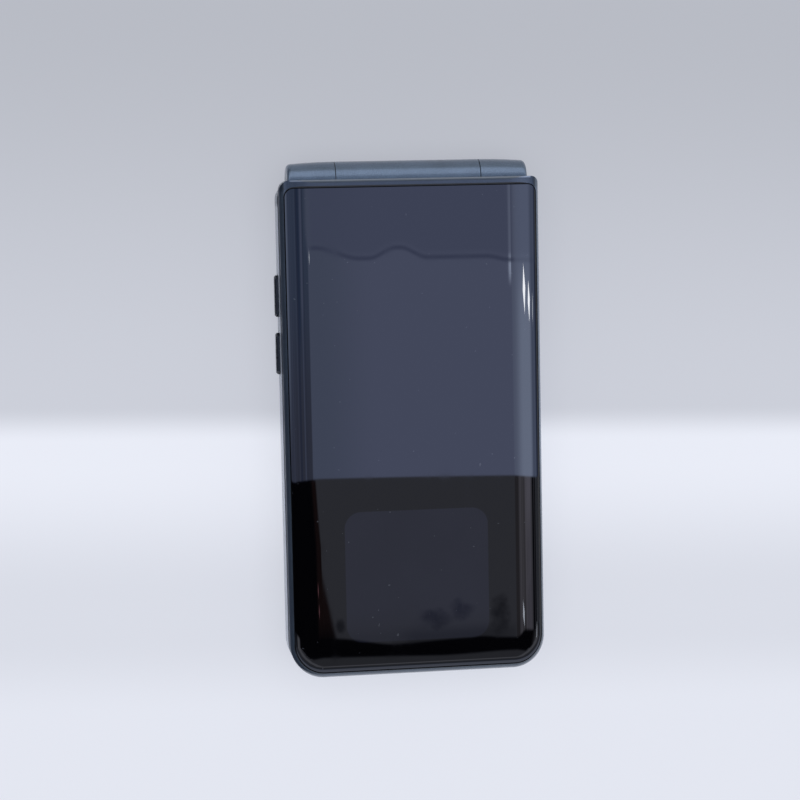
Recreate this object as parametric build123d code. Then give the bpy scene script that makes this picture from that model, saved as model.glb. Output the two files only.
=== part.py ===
from build123d import *
import math
import os

# Flip phone, closed and lying on its back: a keypad half below, a lid with an outer glass above,
# and a hinge barrel across one end. Millimetres. X is the width, Y the length with the hinge at
# the +Y end, Z the thickness with the lid on top. The origin lies under the middle of the phone,
# on the surface that it rests on.

# ---------------------------------------------------------------- driving dimensions

# Housing
phone_width = 62.4
phone_length = 123.9
base_thickness = 9.4
closing_gap = 0.3
lid_thickness = 7.5
free_corner_radius = 8.0

# Hinge barrel: the middle turns with the lid, the two ears stand on the base
barrel_radius = 4.6
barrel_half_length = 17.4
ear_split_gap = 0.2
ear_from_side = 2.2
ear_end_radius = 4.1
ear_edge_round = 1.1
axis_below_parting = 0.9
barrel_clearance = 0.3
ear_clearance = 0.25

# Lid frame
lid_past_axis = 0.3
lid_hinge_corner_radius = 2.3
lid_wall = 1.5
lid_hinge_edge_round = 0.7
lid_edge_round = 3.3
side_bend_width = 7.5
side_bend_radius = 20.0
lid_floor_thickness = 0.8
glass_ledge_width = 3.4
inner_cover_thickness = 1.2
inner_cover_inset = 0.15
inner_cover_bevel = 0.4

# Outer glass
glass_thickness = 0.8
glass_bond = 0.1
glass_gap = 0.25
side_rim = 1.1
free_rim = 1.75
hinge_rim = 2.0
glass_hinge_corner_radius = 2.0

# Outer sub display, behind the glass near the free end
sub_display_width = 38.0
sub_display_length = 35.0
sub_display_thickness = 1.3
sub_display_from_end = 6.8

# Main display and its window, on the inside of the lid
display_side_border = 3.0
main_display_thickness = 1.9
main_display_from_end = 7.9
main_display_from_barrel = 5.8
driver_ledge_length = 3.2
window_thickness = 0.95
window_recess = 0.25
window_side_overlap = 0.6
window_free_end_overlap = 2.2
window_hinge_end_overlap = 1.8
window_corner_radius = 2.4
window_gap = 0.15
chassis_thickness = 0.3
chassis_flange = 1.6

# Earpiece, inner camera, magnet and bumpers at the free end of the lid
earpiece_width = 11.0
earpiece_length = 4.0
earpiece_slot_width = 8.0
earpiece_slot_height = 1.2
earpiece_slot_from_end = 3.9
earpiece_mesh_thickness = 0.4
inner_camera_size = 4.4
inner_camera_side = 14.5
inner_camera_lens_radius = 1.4
magnet_width = 6.0
magnet_length = 3.0
magnet_side = 13.0
bumper_radius = 1.5
bumper_from_side = 7.2
bumper_recess = 0.2
bumper_closed_gap = 0.05

# Lid board
lid_board_from_side = 9.2
lid_board_length = 40.0
lid_board_thickness = 0.8
lid_chip_height = 0.7

# Base housing
base_hinge_corner_radius = 3.4
base_short_of_axis = 0.7
base_top_bevel = 0.4
base_wall = 1.4
hinge_block_length = 5.6
front_cover_depth = 2.2
keypad_plate = 1.0
back_cover_height = 2.4
back_cover_thickness = 0.9
back_cover_round = 2.2
mid_floor_height = 5.3
mid_floor_thickness = 0.5

# Main board
board_thickness = 0.8
board_lift = 0.1
board_edge_gap = 0.3
dome_sheet_thickness = 0.1
dome_height = 0.2
dome_radius = 2.4
dome_sides = 8
dome_slope = 70

# Keypad
key_travel = 0.3
key_proud = 0.12
key_gap = 0.2
key_flange = 0.5
key_flange_thickness = 0.45
key_flange_play = 0.1
key_edge_chamfer = 0.25
key_corner_cut = 1.0
plunger_width = 2.2
plunger_length = 0.4
keypad_side_border = 2.7
keypad_free_end_border = 16.75
keypad_columns = 3
keypad_rows = 4
number_column_gap = 1.2
number_row_gap = 1.6
ring_from_hinge_edge = 26.65
ring_radius = 12.5
ring_inner_radius = 6.3
ring_to_ok_gap = 0.3
ring_to_function_gap = 2.8
function_key_height = 12.0
function_row_gap = 2.6
clear_key_width = 18.0
clear_key_height = 7.0
ring_to_clear_gap = 2.6
clear_to_number_gap = 2.7

# Side keys
side_key_length = 10.0
side_key_height = 2.4
side_key_proud = 0.9
side_key_gap = 0.2
side_key_flange = 0.5
side_key_flange_thickness = 0.5
side_key_travel = 0.4
side_key_corner_cut = 0.7
side_key_chamfer = 0.35
side_key_level = 4.6
volume_up_from_hinge = 26.65
volume_key_pitch = 13.9
quick_key_from_hinge = 33.65
switch_depth = 1.8
switch_length = 4.0
switch_height = 2.2
switch_play = 0.1

# Battery
battery_from_side = 7.2
battery_thickness = 4.0
battery_from_end = 15.4
battery_edge_round = 0.8
contact_block_width = 10.0
contact_block_length = 3.0
contact_block_gap = 0.5

# Board parts that face the back
can_height = 1.6
can_side = 9.6
can_length = 22.0
cans_to_switch_gap = 2.9
cans_to_camera_gap = 3.1
cans_to_contact_gap = 5.05
card_socket_width = 16.0
card_socket_gap = 1.0
small_can_length = 5.0

# Rear camera and flash
camera_from_cavity_end = 7.65
camera_size = 8.6
camera_barrel_radius = 3.2
camera_window_radius = 4.5
camera_window_thickness = 0.55
camera_ledge = 1.1
flash_side = 9.0
flash_radius = 1.8
window_fit = 0.1

# Parts at the free end of the base
usb_width = 8.94
usb_height = 3.16
usb_depth = 7.4
usb_wall = 0.3
usb_tongue_width = 6.7
usb_tongue_height = 0.7
port_clearance = 0.1
jack_to_screw = 7.0
jack_bore_radius = 1.78
jack_body_radius = 2.5
jack_depth = 12.0
mic_side = 12.0
mic_width = 3.6
mic_length = 2.3
mic_height = 1.3
mic_hole_radius = 0.5
speaker_inner_side = 7.5
speaker_to_screw_gap = 2.5
speaker_length = 9.0
speaker_height = 3.6
speaker_from_end = 4.4
grille_slot_width = 1.0
grille_slot_length = 5.0
grille_slot_pitch = 2.2
grille_slots = 5
grille_slot_cut = 0.3
motor_radius = 3.5
motor_height = 3.0
motor_to_jack_gap = 1.5
motor_to_battery_gap = 0.4

# Case screws
screw_radius = 0.7
screw_head_radius = 1.3
screw_head_height = 0.6
screw_length = 2.6
screw_boss_radius = 1.7
screw_boss_gap = 0.3
screw_fit = 0.05
screw_facets = 12
screw_from_side = 7.2
screw_from_free_end = 8.45
screw_from_cavity_end = 3.45

# Click hinge unit: its case sits in the barrel, its shaft locks into the left ear
unit_case_radius = 3.0
unit_case_flat = 2.6
unit_case_wall = 0.6
unit_case_length = 16.2
unit_fit = 0.1
unit_inner_flat = 1.95
shaft_head_radius = 2.4
shaft_head_flat = 1.8
shaft_head_length = 7.0
shaft_neck_radius = 1.5
shaft_rod_radius = 0.9
cam_disc_radius = 2.15
cam_disc_thickness = 1.5
cam_ridge_height = 0.5
cam_ridge_width = 1.6
cam_running_gap = 0.3
follower_thickness = 2.2
spring_wire_width = 0.6
spring_wire_depth = 0.45
spring_coil_radius = 1.4
spring_turns = 4
spring_seat_gap = 0.1

# Hollow hinge bush on the right, with the rolled flex cable inside it
bush_radius = 2.8
bush_wall = 0.5
bush_in_ear = 6.6
bush_in_barrel = 8.0
bush_running_gap = 0.25
flex_roll_radius = 1.7
flex_thickness = 0.2
flex_length = 13.6

# ---------------------------------------------------------------- places that follow

half_width = phone_width / 2
free_end = -phone_length / 2
hinge_y = phone_length / 2 - barrel_radius
hinge_z = base_thickness - axis_below_parting
ear_inner_end = barrel_half_length + ear_split_gap
ear_outer_end = half_width - ear_from_side

lid_bottom = base_thickness + closing_gap
lid_top = lid_bottom + lid_thickness
lid_hinge_edge = hinge_y + lid_past_axis
frame_bottom = lid_bottom + inner_cover_thickness
bend_start = half_width - side_bend_width
pocket_depth = glass_thickness + glass_bond
display_plane = lid_bottom + window_recess + window_thickness
chassis_top = display_plane + main_display_thickness + chassis_thickness
lid_floor_bottom = chassis_top
lid_floor_top = lid_floor_bottom + lid_floor_thickness
barrel_front = hinge_y - barrel_radius

main_display_width = phone_width - 2 * display_side_border
main_display_start = free_end + main_display_from_end
main_display_end = barrel_front - main_display_from_barrel
window_width = main_display_width + 2 * window_side_overlap
window_start = main_display_start - window_free_end_overlap
window_end = main_display_end + window_hinge_end_overlap
window_middle = (window_start + window_end) / 2
earpiece_line = free_end + earpiece_slot_from_end
bumper_side = half_width - bumper_from_side

base_hinge_edge = hinge_y - base_short_of_axis
front_cover_bottom = base_thickness - front_cover_depth
plate_bottom = base_thickness - keypad_plate
base_cavity_end = base_hinge_edge - hinge_block_length
mid_floor_top = mid_floor_height + mid_floor_thickness
board_bottom = mid_floor_top + board_lift
board_top = board_bottom + board_thickness

key_top = base_thickness + key_proud
flange_top = plate_bottom - key_flange_play
flange_bottom = flange_top - key_flange_thickness
plunger_bottom = flange_bottom - plunger_length

wall_inside = half_width - base_wall
switch_face = wall_inside - switch_play - side_key_flange_thickness - side_key_travel - switch_play

ring_place = base_hinge_edge - ring_from_hinge_edge
ok_key_radius = ring_inner_radius - ring_to_ok_gap
ok_flange_radius = ok_key_radius + key_flange
function_key_width = half_width - keypad_side_border - ring_radius - ring_to_function_gap
side_function_place = half_width - keypad_side_border - function_key_width / 2
soft_key_place = ring_place + (function_key_height + function_row_gap) / 2
call_key_place = ring_place - (function_key_height + function_row_gap) / 2
clear_key_place = ring_place - ring_radius - ring_to_clear_gap - clear_key_height / 2
numbers_top = clear_key_place - clear_key_height / 2 - clear_to_number_gap
numbers_bottom = free_end + keypad_free_end_border
number_column_pitch = (phone_width - 2 * keypad_side_border + number_column_gap) / keypad_columns
number_row_pitch = (numbers_top - numbers_bottom + number_row_gap) / keypad_rows
number_key_width = number_column_pitch - number_column_gap
number_key_height = number_row_pitch - number_row_gap
number_columns = [(column - (keypad_columns - 1) / 2) * number_column_pitch
                  for column in range(keypad_columns)]
number_rows = [numbers_top - number_key_height / 2 - row * number_row_pitch for row in range(keypad_rows)]

screw_side = half_width - screw_from_side
screw_places = [(side * screw_side, along)
                for along in (free_end + screw_from_free_end, base_cavity_end - screw_from_cavity_end)
                for side in (-1, 1)]
volume_up_place = base_hinge_edge - volume_up_from_hinge
side_keys = {
    "volume_up_key": (-1, volume_up_place),
    "volume_down_key": (-1, volume_up_place - volume_key_pitch),
    "quick_key": (1, base_hinge_edge - quick_key_from_hinge),
}

camera_place = base_cavity_end - camera_from_cavity_end
back_parts_end = camera_place - camera_size / 2 - cans_to_camera_gap
back_parts_place = back_parts_end - can_length
can_width = switch_face - switch_depth - cans_to_switch_gap - can_side
contact_start = back_parts_place - cans_to_contact_gap - contact_block_length
battery_start = free_end + battery_from_end
battery_end = contact_start - contact_block_gap
port_level = (back_cover_height + front_cover_bottom) / 2
usb_level = board_bottom - usb_height / 2 - board_lift
jack_side = screw_side - jack_to_screw
motor_side = jack_side - jack_body_radius - motor_to_jack_gap - motor_radius
motor_place = battery_start - motor_to_battery_gap - motor_radius
speaker_width = screw_side - speaker_to_screw_gap - speaker_inner_side
speaker_side = speaker_inner_side + speaker_width / 2

unit_open_end = -barrel_half_length + unit_fit
unit_closed_end = unit_open_end + unit_case_length
cam_face = unit_open_end + unit_fit + cam_disc_thickness
follower_face = cam_face + cam_ridge_height + cam_running_gap
margin = 1.0


# ---------------------------------------------------------------- basic forms

def block(x_from, x_to, y_from, y_to, z_from, z_to):
    """A rectangular block between two places along each axis."""
    centre = Pos((x_from + x_to) / 2, (y_from + y_to) / 2, (z_from + z_to) / 2)
    return centre * Box(x_to - x_from, y_to - y_from, z_to - z_from)


def upright(sketch, z_from, z_to):
    """A plan outline raised from one height to another."""
    return extrude(Pos(0, 0, z_from) * sketch, z_to - z_from)


def round_bar(radius, x_from, x_to):
    """A bar along the hinge axis."""
    middle = Pos((x_from + x_to) / 2, hinge_y, hinge_z)
    return middle * Rot(0, 90, 0) * Cylinder(radius, x_to - x_from)


def flatted_bar(radius, flat, x_from, x_to):
    """A bar along the hinge axis with a flat on its top and on its underside."""
    slab = block(x_from, x_to, hinge_y - radius, hinge_y + radius, hinge_z - flat, hinge_z + flat)
    return round_bar(radius, x_from, x_to) & slab


def port(section, x, z, y_from, y_to):
    """A section carried along Y, for the ports that open at the free end."""
    return extrude(Plane.XZ.offset(-y_from) * Pos(x, z) * section, -(y_to - y_from))


def housing_plan(hinge_edge, hinge_corner, inset=0.0):
    """Plan of a housing half: large corners at the free end, small ones at the hinge."""
    length = hinge_edge - free_end - 2 * inset
    plan = Pos(0, (hinge_edge + free_end) / 2) * Rectangle(phone_width - 2 * inset, length)
    plan = fillet(plan.vertices().group_by(Axis.Y)[0], free_corner_radius - inset)
    return fillet(plan.vertices().group_by(Axis.Y)[-1], max(hinge_corner - inset, margin / 2))


def plate_at(x, y, across, along, corner):
    """A rectangle with round corners, in plan."""
    return Pos(x, y) * RectangleRounded(across, along, corner)


def turned(x, y, radius):
    """The plan of a small turned part or of its hole, with a few flats for its round."""
    return Pos(x, y) * RegularPolygon(radius, screw_facets)


def cut_plate(x, y, across, along, cut):
    """A rectangle with its corners cut off, in plan."""
    plan = Rectangle(across, along)
    return Pos(x, y) * chamfer(plan.vertices(), cut)


# ---------------------------------------------------------------- lid

def lid_form():
    """The lid's outer form: bent down along both sides and rolled over at three edges."""
    def arch_point(across):
        drop = side_bend_radius - math.sqrt(side_bend_radius ** 2 - (abs(across) - bend_start) ** 2)
        return (across, lid_top - drop)

    edge = half_width + margin
    bent = half_width - side_bend_width / 2
    outline = Polyline((-edge, lid_bottom - margin), (edge, lid_bottom - margin), arch_point(edge))
    outline += ThreePointArc(arch_point(edge), arch_point(bent), arch_point(bend_start))
    outline += Line(arch_point(bend_start), arch_point(-bend_start))
    outline += ThreePointArc(arch_point(-bend_start), arch_point(-bent), arch_point(-edge))
    outline += Line(arch_point(-edge), (-edge, lid_bottom - margin))
    arched = extrude(make_face(Plane.XZ * outline), amount=phone_length, both=True)
    overrun = lid_hinge_edge + free_corner_radius
    plan = Pos(0, (overrun + free_end) / 2) * Rectangle(phone_width, overrun - free_end)
    plan = fillet(plan.vertices().group_by(Axis.Y)[0], free_corner_radius)
    form = upright(plan, lid_bottom, lid_top + margin) & arched

    def is_outer_top_edge(edge):
        middle = edge.position_at(0.5)
        rises = edge.bounding_box().size.Z > lid_thickness / 2
        inside = abs(middle.X) < half_width - free_corner_radius / 2
        inside = inside and free_end + free_corner_radius / 2 < middle.Y
        return not rises and not inside and middle.Z > lid_bottom + margin and middle.Y < overrun - margin

    form = fillet(form.edges().filter_by(is_outer_top_edge), lid_edge_round)
    trim = Pos(0, lid_hinge_edge - phone_length / 2) * Rectangle(phone_width, phone_length)
    trim = fillet(trim.vertices().group_by(Axis.Y)[-1], lid_hinge_corner_radius)
    trim += Pos(0, free_end) * Rectangle(phone_width, phone_length / 2)
    form = form & upright(trim, lid_bottom, lid_top + margin)
    round_y = lid_hinge_edge - lid_hinge_edge_round
    round_z = lid_top - lid_hinge_edge_round
    waste = block(-phone_width, phone_width, round_y, lid_hinge_edge + margin, round_z, lid_top + margin)
    roll = Pos(0, round_y, round_z) * Rot(0, 90, 0) * Cylinder(lid_hinge_edge_round, 2 * phone_width)
    return form - (waste - roll)


def glass_plan(grow=0.0):
    """Plan of the outer glass, or of its pocket when it is grown by the gap round it."""
    glass_end = lid_hinge_edge - hinge_rim + grow
    glass_start = free_end + free_rim - grow
    across = phone_width - 2 * side_rim + 2 * grow
    plan = Pos(0, (glass_start + glass_end) / 2) * Rectangle(across, glass_end - glass_start)
    plan = fillet(plan.vertices().group_by(Axis.Y)[0], free_corner_radius - side_rim + grow)
    return fillet(plan.vertices().group_by(Axis.Y)[-1], glass_hinge_corner_radius + grow)


def front_glass(form):
    """Outer glass: one bent pane of even depth."""
    pane = form & upright(glass_plan(), lid_bottom, lid_top + margin)
    return pane - Pos(0, 0, -glass_thickness) * form


def lid_frame(form):
    """Cast lid frame with its floor, glass ledge and the middle of the hinge barrel."""
    pocket = upright(glass_plan(glass_gap), lid_bottom, lid_top + margin)
    frame = form - (pocket - Pos(0, 0, -pocket_depth) * form)
    frame -= block(-phone_width, phone_width, free_end - margin, lid_hinge_edge + margin,
                   lid_bottom - margin, frame_bottom)
    cavity_end = barrel_front - lid_wall
    under = housing_plan(cavity_end + lid_wall, lid_hinge_corner_radius, lid_wall)
    frame -= upright(under, frame_bottom - margin, lid_floor_bottom)
    ledge = lid_wall + glass_ledge_width
    over = housing_plan(cavity_end + ledge, lid_hinge_corner_radius + ledge, ledge)
    frame -= upright(over, lid_floor_top, lid_top + margin)
    frame += round_bar(barrel_radius, -barrel_half_length, barrel_half_length)
    for side in (-1, 1):
        near = side * barrel_half_length
        far = side * (ear_outer_end + ear_clearance)
        frame -= round_bar(barrel_radius + ear_clearance, min(near, far), max(near, far))
    frame -= flatted_bar(unit_case_radius + unit_fit, unit_case_flat + unit_fit,
                         -barrel_half_length - margin, unit_closed_end + unit_fit)
    frame -= round_bar(bush_radius + bush_running_gap, barrel_half_length - bush_in_barrel - unit_fit,
                       barrel_half_length + margin)
    return frame


def lid_inner_cover():
    """Inner cover of the lid, with its window opening, earpiece slot and camera hole."""
    plan = housing_plan(lid_hinge_edge, lid_hinge_corner_radius, inner_cover_inset)
    cover = upright(plan, lid_bottom, frame_bottom)
    cover = chamfer(cover.faces().sort_by(Axis.Z)[0].edges(), inner_cover_bevel)
    opening = window_plan(window_gap)
    cover -= upright(opening, lid_bottom - margin, frame_bottom + margin)
    cover -= upright(earpiece_slot(0), lid_bottom - margin, frame_bottom + margin)
    camera_hole = Pos(inner_camera_side, earpiece_line) * Circle(inner_camera_lens_radius + window_fit)
    cover -= upright(camera_hole, lid_bottom - margin, frame_bottom + margin)
    for side in (-1, 1):
        cover -= upright(turned(side * bumper_side, earpiece_line, bumper_radius + window_fit),
                         lid_bottom - margin, lid_bottom + bumper_recess)
    cover -= round_bar(barrel_radius + ear_clearance, -ear_outer_end - ear_clearance,
                       ear_outer_end + ear_clearance)
    return cover


def earpiece_slot(shrink):
    """Slot in front of the earpiece, in plan."""
    return Pos(0, earpiece_line) * SlotOverall(earpiece_slot_width - 2 * shrink,
                                               earpiece_slot_height - 2 * shrink)


def window_plan(grow):
    """Plan of the main display's window, or of its opening when it is grown by a gap."""
    return plate_at(0, window_middle, window_width + 2 * grow, window_end - window_start + 2 * grow,
                    window_corner_radius + grow)


def display_window():
    """Clear window over the main display."""
    pane = upright(window_plan(0), lid_bottom + window_recess, display_plane)
    return chamfer(pane.faces().sort_by(Axis.Z)[0].edges(), window_gap)


def main_display():
    """Main display module: its panel with the driver ledge at the hinge end."""
    half = main_display_width / 2
    panel = block(-half, half, main_display_start, main_display_end, display_plane,
                  display_plane + main_display_thickness)
    return panel - block(-half, half, main_display_end - driver_ledge_length, main_display_end + margin,
                         display_plane, display_plane + main_display_thickness / 2)


def lid_chassis():
    """Pressed steel tray that backs the main display, with a turned-down flange on each side."""
    inner = main_display_width / 2 + window_gap
    outer = inner + chassis_thickness
    tray = block(-outer, outer, main_display_start, main_display_end, chassis_top - chassis_thickness,
                 chassis_top)
    for side in (-1, 1):
        x_pair = sorted((side * inner, side * outer))
        tray += block(*x_pair, main_display_start, main_display_end, chassis_top - chassis_flange,
                      chassis_top)
    return tray


def sub_display():
    """Outer sub display, bonded to the back of the glass."""
    start = free_end + sub_display_from_end
    top = lid_top - glass_thickness
    return block(-sub_display_width / 2, sub_display_width / 2, start, start + sub_display_length,
                 top - sub_display_thickness, top)


def lid_board():
    """Lid circuit board with its chips, on the frame's floor at the hinge end."""
    end = barrel_front - 2 * lid_wall - glass_ledge_width
    start = end - lid_board_length
    lid_board_width = phone_width - 2 * lid_board_from_side
    board = block(-lid_board_width / 2, lid_board_width / 2, start, end, lid_floor_top,
                  lid_floor_top + lid_board_thickness)
    chip = lid_board_width / 6
    for column in (-1, 0, 1):
        x = column * lid_board_width / 3
        board += block(x - chip / 2, x + chip / 2, start + chip / 2, start + 3 * chip / 2,
                       lid_floor_top + lid_board_thickness,
                       lid_floor_top + lid_board_thickness + lid_chip_height)
    return board


def earpiece():
    """Receiver capsule behind the earpiece slot."""
    capsule = cut_plate(0, earpiece_line, earpiece_width, earpiece_length, margin / 2)
    return upright(capsule, frame_bottom, lid_floor_bottom)


def earpiece_mesh():
    """Fine mesh strip in the earpiece slot."""
    return upright(earpiece_slot(window_fit), frame_bottom - earpiece_mesh_thickness, frame_bottom)


def front_camera():
    """Inner camera: a square module with its lens in the cover's hole."""
    module = upright(cut_plate(inner_camera_side, earpiece_line, inner_camera_size, inner_camera_size,
                               margin / 2), frame_bottom, lid_floor_bottom)
    lens = upright(Pos(inner_camera_side, earpiece_line) * Circle(inner_camera_lens_radius),
                   lid_bottom + window_recess, frame_bottom)
    return module + lens


def lid_magnet():
    """Magnet that tells the keypad half that the lid is closed."""
    return block(-magnet_side - magnet_width / 2, -magnet_side + magnet_width / 2,
                 earpiece_line - magnet_length / 2, earpiece_line + magnet_length / 2,
                 frame_bottom, lid_floor_bottom)


def lid_bumpers():
    """Rubber bumpers that the lid closes on."""
    bumpers = []
    for side in (-1, 1):
        disc = upright(turned(side * bumper_side, earpiece_line, bumper_radius),
                       base_thickness + bumper_closed_gap, lid_bottom + bumper_recess)
        bumpers.append(chamfer(disc.faces().sort_by(Axis.Z)[0].edges(), bumper_recess / 2))
    return Compound(children=bumpers)


# ---------------------------------------------------------------- base housing

def base_form():
    """Outer form of the closed-up base, before it is split into its three shells."""
    form = upright(housing_plan(base_hinge_edge, base_hinge_corner_radius), 0, base_thickness)
    form = fillet(form.faces().sort_by(Axis.Z)[0].edges(), back_cover_round)
    form = chamfer(form.faces().sort_by(Axis.Z)[-1].edges(), base_top_bevel)
    return form - round_bar(barrel_radius + barrel_clearance, -ear_inner_end, ear_inner_end)


def hinge_ear(side):
    """One hinge ear: a crowned knuckle that narrows to its rounded outer end."""
    half_length = (ear_inner_end + ear_outer_end) / 2
    inner = (ear_inner_end, barrel_radius)
    crown = (half_length, barrel_radius - (barrel_radius - ear_end_radius) / 4)
    outer = (ear_outer_end, ear_end_radius)
    profile = Polyline((ear_outer_end, 0), (ear_inner_end, 0), inner)
    profile += ThreePointArc(inner, crown, outer)
    profile += Line(outer, (ear_outer_end, 0))
    section = make_face(profile)
    section = fillet(section.vertices().sort_by_distance(outer)[0], ear_edge_round)
    knuckle = revolve(section, Axis.X)
    placed = Pos(0, hinge_y, hinge_z) * knuckle
    return placed if side > 0 else mirror(placed, Plane.YZ)


def base_front_cover(form):
    """Keypad cover: top plate with the key openings, a rim round it and the screw bosses."""
    cover = form & block(-phone_width, phone_width, -phone_length, phone_length, front_cover_bottom,
                         base_thickness)
    inside = housing_plan(base_cavity_end + base_wall, base_hinge_corner_radius, base_wall)
    cover -= upright(inside, front_cover_bottom - margin, plate_bottom)
    for opening in key_openings():
        cover -= upright(opening, plate_bottom - margin, base_thickness + margin)
    for side in (-1, 1):
        x_pair = sorted((side * barrel_half_length, side * (ear_outer_end + unit_fit)))
        cover -= round_bar(barrel_radius + unit_fit, *x_pair)
    for x, y in screw_places:
        boss = upright(turned(x, y, screw_boss_radius), mid_floor_top, plate_bottom)
        cover += boss - upright(turned(x, y, screw_radius + screw_fit), mid_floor_top,
                                plate_bottom - margin / 4)
    return cover


def key_openings():
    """Plan outlines of all the openings in the keypad plate."""
    places = [(x, y, number_key_width, number_key_height) for x in number_columns for y in number_rows]
    places += [(side * side_function_place, y, function_key_width, function_key_height)
               for side in (-1, 1) for y in (soft_key_place, call_key_place)]
    places.append((0, clear_key_place, clear_key_width, clear_key_height))
    openings = [cut_plate(x, y, across + 2 * key_gap, along + 2 * key_gap, key_corner_cut + key_gap / 2)
                for x, y, across, along in places]
    openings.append(Pos(0, ring_place) * Circle(ring_radius + key_gap))
    return openings


def base_mid_frame(form):
    """Metal mid frame: side band, floor, both hinge ears and the openings for ports and keys."""
    frame = form & block(-phone_width, phone_width, -phone_length, phone_length, back_cover_height,
                         front_cover_bottom)
    inside = housing_plan(base_cavity_end + base_wall, base_hinge_corner_radius, base_wall)
    cavity = upright(inside, back_cover_height - margin, front_cover_bottom + margin)
    floor = upright(inside, mid_floor_height, mid_floor_top)
    for window in floor_windows():
        floor -= window
    frame = frame - cavity + floor
    for side in (-1, 1):
        frame += hinge_ear(side)
    frame -= round_bar(barrel_radius + barrel_clearance, -barrel_half_length, barrel_half_length)
    frame -= flatted_bar(shaft_head_radius + screw_fit, shaft_head_flat + screw_fit,
                         -ear_inner_end - shaft_head_length, -barrel_half_length)
    frame -= round_bar(bush_radius + screw_fit, barrel_half_length, ear_inner_end + bush_in_ear)
    for side, y in side_keys.values():
        slot = side_key_solid(side, y, side_key_gap, wall_inside - margin, half_width + margin)
        frame -= slot
    frame -= usb_mouth(port_clearance, free_end - margin, free_end + 2 * base_wall)
    frame -= port(Circle(jack_bore_radius), -jack_side, port_level, free_end - margin,
                  free_end + 2 * base_wall)
    mic_hole = RegularPolygon(mic_hole_radius, screw_facets)
    return frame - port(mic_hole, mic_side, board_bottom - mic_height / 2, free_end - margin,
                        free_end + 2 * base_wall)


def floor_windows():
    """Windows in the mid frame's floor, for the parts that hang under the board."""
    reach = (mid_floor_height - margin, mid_floor_top + margin)
    gap = board_edge_gap
    windows = [
        block(-can_side - can_width - gap, can_side + can_width + gap, back_parts_place - gap,
              back_parts_end + gap, *reach),
        block(-camera_size / 2 - gap, camera_size / 2 + gap, camera_place - camera_size / 2 - gap,
              camera_place + camera_size / 2 + gap, *reach),
        block(-contact_block_width / 2 - gap, contact_block_width / 2 + gap, contact_start - gap,
              contact_start + contact_block_length + gap, *reach),
        block(-usb_width / 2 - gap, usb_width / 2 + gap, free_end + base_wall - margin / 2,
              free_end + usb_depth + gap, *reach),
        block(-jack_side - jack_body_radius - gap, -jack_side + jack_body_radius + gap,
              free_end + base_wall - margin / 2, free_end + base_wall + jack_depth + gap, *reach),
        block(mic_side - mic_width / 2 - gap, mic_side + mic_width / 2 + gap,
              free_end + base_wall - margin / 2, free_end + base_wall + mic_length + 2 * gap, *reach),
    ]
    for side, y in side_keys.values():
        x_pair = sorted((side * (switch_face - switch_depth - gap), side * (wall_inside + margin / 2)))
        half = side_key_length / 2 + side_key_flange + gap
        windows.append(block(*x_pair, y - half, y + half, *reach))
    windows += [upright(turned(x, y, screw_radius + screw_fit), *reach) for x, y in screw_places]
    return windows


def battery_cover(form):
    """Back cover: a shallow tray that wraps the back edge, with its camera and speaker holes."""
    cover = form & block(-phone_width, phone_width, -phone_length, phone_length, 0, back_cover_height)
    inside = housing_plan(base_cavity_end + base_wall, base_hinge_corner_radius, base_wall)
    cover -= upright(inside, back_cover_thickness, back_cover_height + margin)
    lens = Pos(0, camera_place)
    flash = Pos(flash_side, camera_place)
    for place, radius in ((lens, camera_window_radius), (flash, flash_radius)):
        cover -= upright(place * Circle(radius + window_fit), -margin, camera_window_thickness + window_fit)
        cover -= upright(place * Circle(radius - camera_ledge), -margin, back_cover_height)
    slot_line = free_end + speaker_from_end + speaker_length / 2
    for count in range(grille_slots):
        x = speaker_side + (count - (grille_slots - 1) / 2) * grille_slot_pitch
        slot = cut_plate(x, slot_line, grille_slot_width, grille_slot_length, grille_slot_cut)
        cover -= upright(slot, -margin, back_cover_height)
    return cover


# ---------------------------------------------------------------- keys

def key_body(plan, flange, plungers):
    """A key: cap with a bevelled top edge, a flange under the plate and its plungers."""
    cap = upright(plan, flange_top, key_top)
    cap = chamfer(cap.faces().sort_by(Axis.Z)[-1].edges(), key_edge_chamfer)
    key = cap + upright(flange, flange_bottom, flange_top)
    for x, y in plungers:
        key += upright(Pos(x, y) * Rectangle(plunger_width, plunger_width), plunger_bottom, flange_bottom)
    return key


def flat_key(x, y, across, along):
    """A rectangular key with one plunger under its middle."""
    plan = cut_plate(x, y, across, along, key_corner_cut)
    flange = Pos(x, y) * Rectangle(across + 2 * key_flange, along + 2 * key_flange)
    return key_body(plan, flange, [(x, y)])


def nav_ring():
    """Navigation ring: one rocker that presses on the four nubs of the dome sheet under it."""
    ring = Pos(0, ring_place) * (Circle(ring_radius) - Circle(ring_inner_radius))
    cap = upright(ring, flange_top, key_top)
    cap = chamfer(cap.faces().sort_by(Axis.Z)[-1].edges(), key_edge_chamfer)
    flange = Pos(0, ring_place) * (Circle(ring_radius + key_flange) - Circle(ok_flange_radius + key_flange))
    return cap + upright(flange, flange_bottom, flange_top)


def ring_switches():
    """Places of the four switches under the navigation ring."""
    reach = (ring_radius + ring_inner_radius) / 2
    return [(reach * math.cos(turn * math.pi / 2), ring_place + reach * math.sin(turn * math.pi / 2))
            for turn in range(4)]


def ok_key():
    """Centre key, whose flange lies under the ring by more than the ring's travel."""
    middle = Pos(0, ring_place)
    cap = upright(middle * Circle(ok_key_radius), plunger_bottom, key_top)
    cap = chamfer(cap.faces().sort_by(Axis.Z)[-1].edges(), key_edge_chamfer)
    return cap + upright(middle * Circle(ok_flange_radius), plunger_bottom,
                         flange_top - key_travel - 2 * key_flange_play)


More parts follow.
